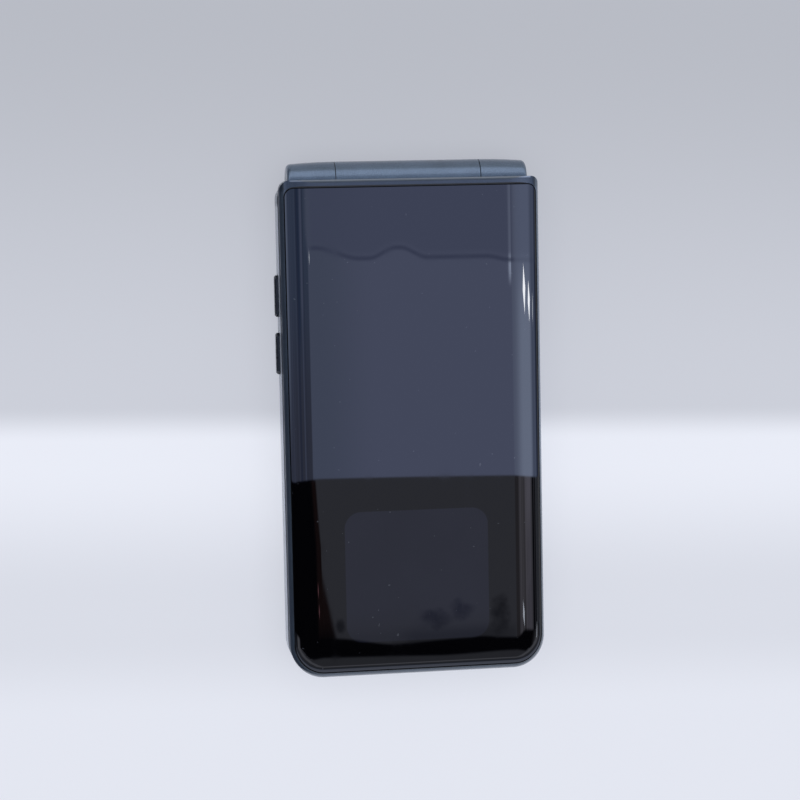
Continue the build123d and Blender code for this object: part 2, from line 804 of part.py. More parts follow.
def side_key_solid(side, y, grow, x_from, x_to):
    """A bar with cut corners through the side wall, grown by a clearance all round."""
    profile = cut_plate(y, side_key_level, side_key_length + 2 * grow, side_key_height + 2 * grow,
                        side_key_corner_cut)
    bar = extrude(Plane.YZ.offset(x_from) * profile, x_to - x_from)
    return bar if side > 0 else mirror(bar, Plane.YZ)


def side_key(side, y):
    """A side key: its bar through the wall, a chamfered face and a flange behind the wall."""
    flange_face = wall_inside - switch_play
    flange_back = flange_face - side_key_flange_thickness
    bar = side_key_solid(1, y, 0, flange_face, half_width + side_key_proud)
    bar = chamfer(bar.faces().sort_by(Axis.X)[-1].edges(), side_key_chamfer)
    key = bar + side_key_solid(1, y, side_key_flange, flange_back, flange_face)
    return key if side > 0 else mirror(key, Plane.YZ)


def side_switches():
    """Side switches, hung under the edge of the board behind their keys."""
    switches = []
    for side, y in side_keys.values():
        x_pair = sorted((side * (switch_face - switch_depth), side * switch_face))
        switches.append(block(*x_pair, y - switch_length / 2, y + switch_length / 2,
                              board_bottom - switch_height, board_bottom))
    return Compound(children=switches)


# ---------------------------------------------------------------- board and parts inside the base

def main_board():
    """Main circuit board, notched for the jack and the side keys and drilled for the bosses."""
    plan = housing_plan(base_cavity_end + base_wall, base_hinge_corner_radius, base_wall + board_edge_gap)
    board = upright(plan, board_bottom, board_top)
    board -= block(-jack_side - jack_body_radius - board_edge_gap,
                   -jack_side + jack_body_radius + board_edge_gap, free_end,
                   free_end + base_wall + jack_depth + board_edge_gap, 0, base_thickness)
    for side, y in side_keys.values():
        x_pair = sorted((side * (switch_face - board_edge_gap), side * half_width))
        half = side_key_length / 2 + side_key_flange + board_edge_gap
        board -= block(*x_pair, y - half, y + half, 0, base_thickness)
    for x, y in screw_places:
        board -= upright(turned(x, y, screw_boss_radius + screw_boss_gap), 0, base_thickness)
    return board


def dome_places():
    """Centres of all the dome switches under the keypad."""
    places = [(x, y) for x in number_columns for y in number_rows]
    places += [(side * side_function_place, y) for side in (-1, 1) for y in (soft_key_place, call_key_place)]
    return places + ring_switches() + [(0, ring_place), (0, clear_key_place)]


def key_dome_sheet():
    """Dome sheet: a film with one metal snap dome under each plunger and four nubs for the ring."""
    across = 2 * (number_column_pitch + dome_radius + key_flange)
    start = number_rows[-1] - number_key_height / 2
    end = soft_key_place + function_key_height / 2
    sheet = block(-across / 2, across / 2, start, end, board_top, board_top + dome_sheet_thickness)
    for x, y in dome_places():
        foot = Pos(x, y, board_top + dome_sheet_thickness) * RegularPolygon(dome_radius, dome_sides)
        sheet += extrude(foot, dome_height, taper=dome_slope)
    for x, y in ring_switches():
        nub = Pos(x, y) * Rectangle(plunger_width, plunger_width)
        sheet += upright(nub, board_top + dome_sheet_thickness, plunger_bottom)
    return sheet


def battery():
    """Battery pack with rounded long edges."""
    half = half_width - battery_from_side
    pack = block(-half, half, battery_start, battery_end, mid_floor_height - battery_thickness,
                 mid_floor_height)
    return fillet(pack.edges().filter_by(Axis.Y), battery_edge_round)


def battery_contacts():
    """Sprung contact block between the battery and the board."""
    return block(-contact_block_width / 2, contact_block_width / 2, contact_start,
                 contact_start + contact_block_length, mid_floor_height - battery_thickness / 2,
                 board_bottom)


def shield_cans():
    """Pressed shields over the chips, on the side of the board that faces the back."""
    bottom = board_bottom - can_height
    return Compound(children=[
        block(-can_side - can_width, -can_side, back_parts_place, back_parts_end, bottom, board_bottom),
        block(can_side, can_side + can_width, back_parts_place, back_parts_end, bottom, board_bottom),
        block(-card_socket_width / 2, card_socket_width / 2, back_parts_end - small_can_length,
              back_parts_end, bottom, board_bottom),
    ])


def card_socket():
    """Card socket with its mouth towards the battery."""
    end = back_parts_end - small_can_length - card_socket_gap
    body = block(-card_socket_width / 2, card_socket_width / 2, back_parts_place, end,
                 board_bottom - can_height, board_bottom)
    lip = card_socket_width / 2 - margin
    return body - block(-lip, lip, back_parts_place - margin, end - margin,
                        board_bottom - 2 * can_height / 3, board_bottom - can_height / 3)


def rear_camera():
    """Rear camera: square module with its lens barrel behind the window."""
    module = upright(cut_plate(0, camera_place, camera_size, camera_size, margin / 2),
                     back_cover_height, board_bottom)
    barrel = upright(Pos(0, camera_place) * Circle(camera_barrel_radius), back_cover_thickness + window_fit,
                     back_cover_height)
    return module + barrel


def pane(x, radius):
    """A round pane set into the back cover."""
    disc = upright(Pos(x, camera_place) * Circle(radius), window_fit, camera_window_thickness + window_fit)
    return chamfer(disc.faces().sort_by(Axis.Z)[0].edges(), window_fit)


def loudspeaker():
    """Loudspeaker box over the holes in the back cover."""
    start = free_end + speaker_from_end
    box = cut_plate(speaker_side, start + speaker_length / 2, speaker_width, speaker_length, margin)
    return upright(box, mid_floor_height - speaker_height, mid_floor_height)


def vibration_motor():
    """Coin vibration motor."""
    place = Pos(-motor_side, motor_place)
    return upright(place * Circle(motor_radius), mid_floor_height - motor_height, mid_floor_height)


def usb_mouth(grow, y_from, y_to):
    """The socket's rounded section, between two places along Y."""
    section = SlotOverall(usb_width + 2 * grow, usb_height + 2 * grow)
    return port(section, 0, usb_level, y_from, y_to)


def usb_connector():
    """Charging socket: a drawn shell with its tongue."""
    start = free_end + window_recess
    end = free_end + usb_depth
    shell = usb_mouth(0, start, end) - usb_mouth(-usb_wall, start - margin, end - margin)
    tongue = block(-usb_tongue_width / 2, usb_tongue_width / 2, start + margin, end - margin / 2,
                   usb_level - usb_tongue_height / 2, usb_level + usb_tongue_height / 2)
    return shell + tongue


def headphone_jack():
    """Headphone socket: a moulded barrel with a blind bore."""
    start = free_end + base_wall
    end = start + jack_depth
    barrel = port(Circle(jack_body_radius), -jack_side, port_level, start, end)
    return barrel - port(Circle(jack_bore_radius), -jack_side, port_level, start - margin, end - margin)


def microphone():
    """Microphone can under the board, behind its hole."""
    start = free_end + base_wall + board_edge_gap
    return block(mic_side - mic_width / 2, mic_side + mic_width / 2, start, start + mic_length,
                 board_bottom - mic_height, board_bottom)


def case_screws():
    """Screws that clamp the mid frame to the keypad cover."""
    screws = []
    for x, y in screw_places:
        shank = upright(turned(x, y, screw_radius), mid_floor_height, mid_floor_height + screw_length)
        head = upright(turned(x, y, screw_head_radius), mid_floor_height - screw_head_height,
                       mid_floor_height)
        screws.append(shank + head)
    return Compound(children=screws)


# ---------------------------------------------------------------- hinge unit

def hinge_case():
    """Case of the click unit: round where the cam turns, flatted where the follower slides."""
    case = flatted_bar(unit_case_radius, unit_case_flat, unit_open_end, unit_closed_end)
    inner = unit_case_radius - unit_case_wall
    case -= round_bar(inner, unit_open_end - margin, follower_face - unit_fit)
    return case - flatted_bar(inner, unit_inner_flat, follower_face - margin / 2,
                              unit_closed_end - unit_case_wall)


def ridge(width, height, x_foot, reach):
    """A V-shaped ridge across the hinge axis, its foot at x_foot and its top towards +X."""
    section = Polyline((x_foot - margin / 4, -width / 2), (x_foot, -width / 2), (x_foot + height, 0),
                       (x_foot, width / 2), (x_foot - margin / 4, width / 2), close=True)
    wedge = extrude(make_face(section), amount=reach, both=True)
    return Pos(0, hinge_y, hinge_z) * wedge


def hinge_shaft():
    """Shaft: head keyed into the left ear, cam disc with its ridge, and the rod for the spring."""
    head_end = -ear_inner_end - screw_fit
    shaft = flatted_bar(shaft_head_radius, shaft_head_flat, head_end - shaft_head_length + unit_fit, head_end)
    shaft += round_bar(shaft_neck_radius, head_end, unit_open_end + unit_fit)
    shaft += round_bar(cam_disc_radius, unit_open_end + unit_fit, cam_face)
    lobe = ridge(cam_ridge_width, cam_ridge_height, cam_face, cam_disc_radius)
    shaft += lobe & round_bar(cam_disc_radius, cam_face - margin, cam_face + margin)
    return shaft + round_bar(shaft_rod_radius, cam_face, unit_closed_end - 2 * unit_case_wall)


def hinge_cam():
    """Follower that the spring presses on the cam: its groove takes the ridge at each end stop."""
    follower_end = follower_face + follower_thickness
    inner = unit_case_radius - unit_case_wall
    body = flatted_bar(inner - unit_fit, unit_inner_flat - unit_fit, follower_face, follower_end)
    groove = ridge(cam_ridge_width, cam_ridge_height, follower_face, unit_case_radius)
    return body - groove - round_bar(shaft_rod_radius + bush_running_gap, follower_face - margin,
                                     follower_end + margin)


def hinge_spring():
    """Compression spring between the follower and the closed end of the case."""
    start = follower_face + follower_thickness + spring_seat_gap + spring_wire_width / 2
    end = unit_closed_end - unit_case_wall - spring_seat_gap - spring_wire_width / 2
    height = end - start
    coil = Helix(pitch=height / spring_turns, height=height, radius=spring_coil_radius)
    across = Plane(origin=coil @ 0, x_dir=(1, 0, 0), z_dir=coil % 0)
    wire = across * Rectangle(spring_wire_depth, spring_wire_width)
    spring = sweep(wire, path=coil, is_frenet=True)
    return Pos(start, hinge_y, hinge_z) * Rot(0, 90, 0) * spring


def hinge_bush():
    """Hollow bush, pressed into the right ear, that the barrel turns on."""
    start = barrel_half_length - bush_in_barrel
    end = ear_inner_end + bush_in_ear
    return round_bar(bush_radius, start, end) - round_bar(bush_radius - bush_wall, start - margin,
                                                          end + margin)


def hinge_flex():
    """Flex cable between the two halves, rolled once and a half round inside the bush."""
    start = barrel_half_length - bush_in_barrel + margin / 2
    outer = flex_roll_radius + flex_thickness
    roll = round_bar(outer, start, start + flex_length)
    roll -= round_bar(flex_roll_radius, start - margin, start + flex_length + margin)
    slit = block(start - margin, start + flex_length + margin, hinge_y, hinge_y + outer + margin,
                 hinge_z - flex_thickness, hinge_z + flex_thickness)
    return roll - slit


# ---------------------------------------------------------------- all pieces

def build_parts():
    """Every piece by its node's name."""
    lid = lid_form()
    base = base_form()
    parts = {
        "lid_frame": lid_frame(lid),
        "front_glass": front_glass(lid),
        "sub_display": sub_display(),
        "lid_chassis": lid_chassis(),
        "main_display": main_display(),
        "display_window": display_window(),
        "lid_inner_cover": lid_inner_cover(),
        "earpiece": earpiece(),
        "earpiece_mesh": earpiece_mesh(),
        "front_camera": front_camera(),
        "lid_board": lid_board(),
        "lid_magnet": lid_magnet(),
        "lid_bumpers": lid_bumpers(),
        "hinge_case": hinge_case(),
        "hinge_shaft": hinge_shaft(),
        "hinge_cam": hinge_cam(),
        "hinge_spring": hinge_spring(),
        "hinge_bush": hinge_bush(),
        "hinge_flex": hinge_flex(),
        "base_front_cover": base_front_cover(base),
        "base_mid_frame": base_mid_frame(base),
        "battery_cover": battery_cover(base),
        "battery": battery(),
        "battery_contacts": battery_contacts(),
        "main_board": main_board(),
        "key_dome_sheet": key_dome_sheet(),
        "shield_cans": shield_cans(),
        "card_socket": card_socket(),
        "side_switches": side_switches(),
        "rear_camera": rear_camera(),
        "camera_window": pane(0, camera_window_radius),
        "flash_window": pane(flash_side, flash_radius),
        "loudspeaker": loudspeaker(),
        "vibration_motor": vibration_motor(),
        "usb_connector": usb_connector(),
        "headphone_jack": headphone_jack(),
        "microphone": microphone(),
        "case_screws": case_screws(),
        "nav_ring": nav_ring(),
        "ok_key": ok_key(),
        "left_soft_key": flat_key(-side_function_place, soft_key_place, function_key_width,
                                  function_key_height),
        "right_soft_key": flat_key(side_function_place, soft_key_place, function_key_width,
                                   function_key_height),
        "call_key": flat_key(-side_function_place, call_key_place, function_key_width,
                             function_key_height),
        "end_key": flat_key(side_function_place, call_key_place, function_key_width,
                            function_key_height),
        "clear_key": flat_key(0, clear_key_place, clear_key_width, clear_key_height),
    }
    key_names = ["1", "2", "3", "4", "5", "6", "7", "8", "9", "star", "0", "hash"]
    key_places = [(x, y) for y in number_rows for x in number_columns]
    for key_name, (x, y) in zip(key_names, key_places):
        parts["key_" + key_name] = flat_key(x, y, number_key_width, number_key_height)
    for key_name, (side, y) in side_keys.items():
        parts[key_name] = side_key(side, y)
    return parts


os.makedirs("parts", exist_ok=True)
for node, shape in build_parts().items():
    export_step(shape, "parts/" + node + ".step")
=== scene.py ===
import bpy
import math
from mathutils import Matrix, Vector


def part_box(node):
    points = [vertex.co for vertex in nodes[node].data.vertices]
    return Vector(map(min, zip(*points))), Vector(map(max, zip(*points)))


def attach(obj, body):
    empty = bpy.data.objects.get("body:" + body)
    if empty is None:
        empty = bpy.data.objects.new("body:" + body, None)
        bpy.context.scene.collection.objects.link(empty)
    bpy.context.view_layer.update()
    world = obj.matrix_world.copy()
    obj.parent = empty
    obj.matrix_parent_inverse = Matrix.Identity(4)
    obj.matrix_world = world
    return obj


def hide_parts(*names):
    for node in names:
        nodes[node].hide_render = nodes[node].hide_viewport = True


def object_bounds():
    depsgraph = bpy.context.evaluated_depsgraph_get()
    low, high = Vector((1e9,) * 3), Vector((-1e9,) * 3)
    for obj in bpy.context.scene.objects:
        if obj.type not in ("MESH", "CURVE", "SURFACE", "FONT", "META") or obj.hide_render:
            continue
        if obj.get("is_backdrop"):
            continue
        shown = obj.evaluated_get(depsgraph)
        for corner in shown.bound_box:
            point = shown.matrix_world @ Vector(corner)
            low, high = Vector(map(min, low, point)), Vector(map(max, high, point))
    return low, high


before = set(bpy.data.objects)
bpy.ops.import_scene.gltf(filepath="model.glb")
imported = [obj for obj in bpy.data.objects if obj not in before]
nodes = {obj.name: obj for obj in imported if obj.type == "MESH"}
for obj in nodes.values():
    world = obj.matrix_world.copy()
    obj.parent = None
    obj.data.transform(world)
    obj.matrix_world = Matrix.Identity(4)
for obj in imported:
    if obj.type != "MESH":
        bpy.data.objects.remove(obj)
bpy.ops.object.select_all(action="DESELECT")
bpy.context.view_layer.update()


# ------ camera
# A long lens half a metre above the closed lid. It stands a little to the phone's left and towards its
# hinge, so that the left side of the base and the rounded back of the barrel show.

MM = 0.001
camera_aim = Vector((0, 0, 13 * MM))
camera_distance = 520.7 * MM
camera_right = -3.25 * MM
camera_up = 4.46 * MM
lens_mm = 97.2
pitch, yaw, roll = (math.radians(angle) for angle in (5.55, 8.39, 1.15))
to_camera = Matrix.Rotation(roll, 4, "Z") @ Matrix.Rotation(pitch, 4, "X") @ Matrix.Rotation(yaw, 4, "Y")
camera_data = bpy.data.cameras.new("camera")
camera_data.lens = lens_mm
camera = bpy.data.objects.new("camera", camera_data)
bpy.context.collection.objects.link(camera)
offset = Matrix.Translation((camera_right, camera_up, camera_distance))
camera.matrix_world = Matrix.Translation(camera_aim) @ to_camera.transposed() @ offset
bpy.context.scene.camera = camera
bpy.context.scene.view_settings.view_transform = "Standard"


# ------ floor
# A plain pale sheet that the phone lies on. It is a shade darker past the middle of the phone than
# near the free end, with a soft step between the two tones.

class Signal:
    """A socket in a material's nodes. Sums and products of signals add Math nodes."""

    def __init__(self, tree, socket=None):
        self.tree = tree
        self.socket = socket

    def node(self, kind, settings=None, inputs=None, output=0):
        """Adds any node: its settings first, then the values or links of its sockets."""
        made = self.tree.nodes.new(kind)
        for name, value in (settings or {}).items():
            setattr(made, name, value)
        for name, value in (inputs or {}).items():
            if isinstance(value, Signal):
                self.tree.links.new(value.socket, made.inputs[name])
            else:
                made.inputs[name].default_value = value
        return Signal(self.tree, made.outputs[output] if len(made.outputs) else None)

    def maths(self, operation, other=0.0, swapped=False):
        """A Math node on this signal and another, in that order unless they are swapped."""
        first, second = (other, self) if swapped else (self, other)
        return self.node("ShaderNodeMath", {"operation": operation}, {0: first, 1: second})

    def __add__(self, other):
        return self.maths("ADD", other)

    def __radd__(self, other):
        return self.maths("ADD", other, swapped=True)

    def __sub__(self, other):
        return self.maths("SUBTRACT", other)

    def __rsub__(self, other):
        return self.maths("SUBTRACT", other, swapped=True)

    def __mul__(self, other):
        return self.maths("MULTIPLY", other)

    def __rmul__(self, other):
        return self.maths("MULTIPLY", other, swapped=True)

    def __truediv__(self, other):
        return self.maths("DIVIDE", other)

    def __abs__(self):
        return self.maths("ABSOLUTE")


def new_material(name):
    """An empty material and the signal that its nodes start from."""
    material = bpy.data.materials.new(name)
    material.use_nodes = True
    material.node_tree.nodes.clear()
    return material, Signal(material.node_tree)


def place(start, centre=(0, 0, 0), turn=(0, 0, 0), stretch=(1, 1, 1)):
    """The point's place on the piece in metres, measured from a centre, turned and then stretched."""
    point = start.node("ShaderNodeTexCoord", output="Object")
    moved = start.node("ShaderNodeMapping", None, {"Vector": point, "Location": [-c for c in centre]})
    return start.node("ShaderNodeMapping", None, {"Vector": moved, "Rotation": turn, "Scale": stretch})


def begin(name, centre=(0, 0, 0)):
    """A new material, its start and the point's place from a centre."""
    material, start = new_material(name)
    return material, start, place(start, centre)


def along(point, axis):
    """One coordinate of a place."""
    return point.node("ShaderNodeSeparateXYZ", None, {"Vector": point}, output=axis)


def noise(point, scale, detail=2.0, roughness=0.5):
    """Cloudy noise from 0 to 1, with scale in cells to the metre."""
    return point.node("ShaderNodeTexNoise", {"normalize": True},
                      {"Vector": point, "Scale": scale, "Detail": detail, "Roughness": roughness})


def step(signal, low, high, start=0.0, end=1.0):
    """A smooth step of a signal between two of its values."""
    return signal.node("ShaderNodeMapRange", {"interpolation_type": "SMOOTHSTEP"},
                       {"Value": signal, "From Min": low, "From Max": high,
                        "To Min": start, "To Max": end})


def fall(signal, low, high):
    """A smooth step from 1 down to 0."""
    return step(signal, low, high, 1.0, 0.0)


def blend(factor, first, second):
    """One colour turning into another."""
    return factor.node("ShaderNodeMix", {"data_type": "RGBA"},
                       {0: factor, 6: first, 7: second}, output=2)


def bump(height, depth):
    """A relief of that depth in metres."""
    return height.node("ShaderNodeBump", None, {"Height": height, "Distance": depth})


def rgb(red, green, blue):
    """A colour given on the screen's scale from 0 to 255."""
    def linear(value):
        share = value / 255
        return share / 12.92 if share <= 0.04045 else ((share + 0.055) / 1.055) ** 2.4
    return (linear(red), linear(green), linear(blue), 1.0)


def just_added(name):
    """The object that was added last, under its name."""
    bpy.context.object.name = name
    return bpy.context.object


floor_size = 6.0
floor_drop = 0.02 * MM
floor_turn = 0.031
floor_step = (-7 * MM, 2 * MM)
own_tone_share = 0.72
bpy.ops.mesh.primitive_plane_add(size=floor_size, location=(0, 0, -floor_drop))
floor = just_added("floor")
bpy.ops.object.transform_apply()
floor_material, start, floor_point = begin("pale_floor")
floor_y = along(floor_point, "Y") + along(floor_point, "X") * floor_turn
far_tone = blend(step(floor_y, 0.0, 0.10), rgb(207, 210, 220), rgb(187, 190, 199))
near_tone = blend(step(floor_y, -0.045, -0.012), rgb(221, 224, 234), rgb(237, 240, 250))
near_tone = blend(fall(floor_y, -0.075, -0.055), near_tone, rgb(231, 234, 244))
floor_tone = blend(step(floor_y, *floor_step), near_tone, far_tone)
fibre = noise(floor_point, 900, 3.0)
paper = start.node("ShaderNodeBsdfPrincipled", None,
                   {"Base Color": floor_tone, "Roughness": 0.9, "Specular IOR Level": 0.2,
                    "Normal": bump(fibre, 0.01 * MM)})
flat_tone = start.node("ShaderNodeEmission", None, {"Color": floor_tone, "Strength": 0.98})
for_camera = start.node("ShaderNodeLightPath", output="Is Camera Ray")
softened = start.node("ShaderNodeMixShader", None,
                      {0: for_camera * own_tone_share, 1: paper, 2: flat_tone})
start.node("ShaderNodeOutputMaterial", None, {"Surface": softened})
floor.data.materials.append(floor_material)
floor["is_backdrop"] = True


# ------ studio
# Soft light from above, and a card over the phone that only glossy surfaces see. The card is pale over
# the hinge half, dim over the free end's half and black on the left, with a cloth's fold across it.

sky_strength = 0.5
more_for_camera = 0.36
lamp_size = 2.6
lamp_power = 29
world = bpy.data.worlds.new("studio")
world.use_nodes = True
bpy.context.scene.world = world
sky = world.node_tree.nodes["Background"]
sky.inputs["Color"].default_value = (0.95, 0.97, 1.0, 1.0)
light_path = Signal(world.node_tree).node("ShaderNodeLightPath", output="Is Camera Ray")
world.node_tree.links.new((light_path * more_for_camera + sky_strength).socket, sky.inputs["Strength"])

lamp_data = bpy.data.lights.new("soft_light", "AREA")
lamp_data.shape = "RECTANGLE"
lamp_data.size = lamp_data.size_y = lamp_size
lamp_data.energy = lamp_power
lamp = bpy.data.objects.new("soft_light", lamp_data)
bpy.context.collection.objects.link(lamp)
lamp.location = (-0.2, 0.3, 2.0)

glass_top = 17.2 * MM
card_height = 1.2
card_rise = card_height - glass_top


def seen_in_glass(x, y, lean=0.0):
    """The place on the card that the flat glass mirrors at (x, y), or a surface leaning to +X there."""
    point = Vector((x * MM, y * MM, glass_top))
    ray = point - camera.matrix_world.translation
    normal = Vector((math.sin(math.radians(lean)), 0, math.cos(math.radians(lean))))
    ray -= 2 * ray.dot(normal) * normal
    return point + ray * (card_rise / ray.z)


def glossy_card(name, corners):
    """A card that mirrors show and that neither lights nor shades the phone."""
    mesh = bpy.data.meshes.new(name)
    mesh.from_pydata(corners, [], [(0, 1, 2, 3)])
    made = bpy.data.objects.new(name, mesh)
    bpy.context.collection.objects.link(made)
    made.visible_camera = False
    made.visible_diffuse = False
    made.visible_shadow = False
    material, start = new_material(name)
    mesh.materials.append(material)
    made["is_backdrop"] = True
    return start


def level_card(name, low_x, low_y, high_x, high_y, height):
    """A level glossy card between two of its corners."""
    return glossy_card(name, [(low_x, low_y, height), (high_x, low_y, height),
                              (high_x, high_y, height), (low_x, high_y, height)])


def glow(start, colour):
    """Light of such strength that clear glass mirrors it in the colour itself."""
    glass_share = 0.0561
    light = start.node("ShaderNodeEmission", None, {"Color": colour, "Strength": 1 / glass_share})
    start.node("ShaderNodeOutputMaterial", None, {"Surface": light})


def band(signal, low, high, soft):
    """1 between two values of a signal and 0 outside, with soft ends."""
    return step(signal, low - soft, low + soft) * fall(signal, high - soft, high + soft)


start = level_card("card_overhead", -9, -4.2, 9, 3, card_height)
card_point = place(start)
card_x = along(card_point, "X")
card_y = along(card_point, "Y")
card_reach = (card_x * card_x + card_rise ** 2).maths("SQRT")


def past_line(y):
    """How far the card's point lies past a line straight across the glass, as a share of its distance."""
    seen = seen_in_glass(0, y)
    return (card_y - y * MM) / card_reach - (seen.y - y * MM) / math.hypot(seen.x, card_rise)


def toward_hinge(low_y, high_y):
    """0 short of one line across the glass and 1 past another, nearer the hinge."""
    share_per_mm = 0.00277
    half = (high_y - low_y) / 2 * share_per_mm
    return step(past_line((low_y + high_y) / 2), -half, half)


# The flat of the glass mirrors the card between these two places, in metres like all others on it.
flat_from = 0.105
flat_to = 0.262
stripes = noise(place(start, stretch=(1, 0.03, 1)), 13, 2.0)
zone = blend(step(card_x, flat_from, flat_from + 0.05), rgb(60, 66, 83), rgb(66, 71, 90))

# Right bend: paler, with one bright line where the glass starts to curve, and dark again at its edge.
pale = blend(step(card_x, flat_to, flat_to + 0.04) * 0.5, zone, rgb(78, 85, 103))
pale = blend(step(card_x, flat_to + 0.03, flat_to + 0.36), pale, rgb(95, 103, 122))
bluer = toward_hinge(26, 42) * step(card_x, flat_to + 0.03, flat_to + 0.3)
pale = blend(bluer * 0.6, pale, rgb(68, 75, 97))
pale = blend(step(card_x, 0.88, 1.08), pale, rgb(61, 68, 86))
pale = blend(step(card_x, 2.2, 3.2), pale, rgb(29, 34, 48))
line = band(card_x, flat_to - 0.0018, flat_to + 0.01, 0.0006) * toward_hinge(31, 36)
pale = blend(line * 0.9, pale, rgb(122, 130, 150))

# Left bend: darker and streaked, with a pale rim.
left = blend(toward_hinge(-8, 44), rgb(40, 43, 55), rgb(43, 51, 68))
left = blend(step(stripes, 0.34, 0.46, 0.8, 0.0), left, rgb(30, 35, 51))
left = blend(step(stripes, 0.54, 0.66, 0.0, 0.7), left, rgb(55, 61, 79))
left = blend(band(card_x, -0.385, -0.315, 0.02) * toward_hinge(12, 26), left, rgb(30, 38, 56))
left = blend(fall(card_x, -3.0, -1.3) * toward_hinge(-10, 25), left, rgb(72, 79, 96))
left = blend(band(card_x, -0.285, -0.235, 0.02) * toward_hinge(22, 30) * 0.9, left, rgb(57, 62, 80))
left_end = card_x - (flat_from - 0.17) + 0.06 * toward_hinge(38, 48)
left_soft = 0.02 + 0.05 * toward_hinge(36, 46)
pale = blend(fall(left_end / left_soft, -1.0, 1.0), pale, left)

# The fold of the cloth: a dark crease that dips on the left and rises to a peak.
fold_peak = 0.171
crease = past_line(38.9) - 0.0075 * fall(card_x, flat_from, flat_from + 0.036)
crease = crease - 0.0068 * band(card_x, fold_peak - 0.012, fold_peak + 0.013, 0.011)
crease = crease + 0.0027 * step(card_x, flat_to - 0.02, flat_to)
past_fold = step(crease, -0.001, 0.006)
over_flat = step(card_x, flat_from - 0.2, flat_from)
fading = step(card_x, flat_to, flat_to + 0.1, 0.75, 0.2)
pale = blend(past_fold * over_flat * fading, pale, rgb(58, 63, 82))
in_fold = band(crease, -0.0014, 0.0014, 0.0013) * over_flat
pale = blend(in_fold * step(card_x, flat_to, flat_to + 0.15, 0.85, 0.25), pale, rgb(48, 53, 72))

# Past the hinge's end of the glass the card is dark, for the barrel's sake, and a little paler far out.
pale = blend(step(past_line(57.0), 0.0, 0.03), pale, rgb(33, 36, 42))
pale = blend(step(card_y, 0.62, 0.85), pale, rgb(70, 73, 79))

# Free end's half: dim over the flat glass, black over the left bend with a reddish gleam beside it.
dim = blend(step(card_x, flat_to + 0.008, flat_to + 0.035), rgb(39, 40, 45), rgb(31, 30, 33))
dim = blend(step(card_x, 0.34, 0.50), dim, rgb(39, 38, 41))
beside_edge = blend(step(card_y, -0.27, -0.21), rgb(56, 55, 62), rgb(67, 66, 74))
dim = blend(step(card_x, 0.54, 0.72), dim, beside_edge)
dim = blend(step(card_x, 0.82, 0.92), dim, rgb(1, 2, 4))
dim = blend(step(card_x, 1.15, 1.4), dim, rgb(22, 26, 30))
over_bend = 0.032 - 1.82 * (card_y + 0.188)
over_glass = 0.1025 - 0.2 * (card_y + 0.237)
shade_edge = over_bend.maths("MINIMUM", over_glass)
shade_soft = 0.0018 + 0.03 * step(card_y, -0.24, -0.20)

# Four clouded smudges near the free end, each with its middle and its half width and length.
smudge_dark = rgb(8, 9, 14)
smudge_places = ((0.196, -0.289, 0.014, 0.008), (0.216, -0.283, 0.010, 0.008),
                 (0.249, -0.288, 0.008, 0.016), (0.119, -0.291, 0.004, 0.006))
clouded = noise(place(start), 90, 4.0, 0.6) * 3.4 - 1.7
smudges = 0.0
for cloud_x, cloud_y, across, length in smudge_places:
    off_x = (card_x - cloud_x) / across
    off_y = (card_y - cloud_y) / length
    smudges = fall(off_x * off_x + off_y * off_y + clouded, -0.4, 1.6).maths("MAXIMUM", smudges)
dim = blend(smudges * 0.7, dim, smudge_dark)
near_free_end = fall(card_y, -0.303, -0.291) * (0.15 + 0.3 * band(card_x, 0.17, 0.26, 0.012))
dim = blend(near_free_end, dim, smudge_dark)
dim = blend(step(card_x, 0.32, 0.36) * step(stripes, 0.42, 0.62) * 0.4, dim, rgb(72, 71, 78))
reddish = step(card_x - shade_edge, -0.17, -0.07) * step(card_y, -0.31, -0.28)
black = blend(reddish, rgb(1, 1, 2), rgb(14, 8, 8))
dim = blend(fall((card_x - shade_edge) / shade_soft, -1.0, 1.0), dim, black)

# Past the free end: black under a wavy edge, and greys that only the free end's roll mirrors.
free_line = past_line(-52.5) + 0.005 * step(card_x, 0.112, 0.165)
free_line = free_line - 0.004 * step(card_x, 0.15, 0.235) - 0.0008 * band(card_x, 0.228, 0.243, 0.006)
free_line = free_line - 0.006 * step(card_x, 0.27, 0.6)
below_line = past_line(-56.9) - 0.0034 * step(card_x, 0.195, 0.27)
below = blend(fall(below_line, -0.002, 0.0), rgb(1, 1, 2), rgb(33, 34, 38))
below = blend(band(card_y, -0.56, -0.38, 0.03), below, rgb(57, 58, 63))
below = blend(fall(card_y, -0.95, -0.7), below, rgb(27, 30, 37))
below = blend(fall(card_y, -1.25, -1.0), below, rgb(60, 63, 72))
tone = blend(step(free_line, -0.0012, 0.0012), below, dim)
tone = blend(step(past_line(-13.6), -0.0008, 0.0008), tone, pale)
glow(start, tone)

# A dark card level with the parting line, for the phone's left side.
start = level_card("card_beside", -0.40, -0.2, -31.6 * MM, 0.2, 9.3 * MM)
glow(start, blend(noise(place(start), 9), rgb(6, 7, 10), rgb(14, 16, 22)))

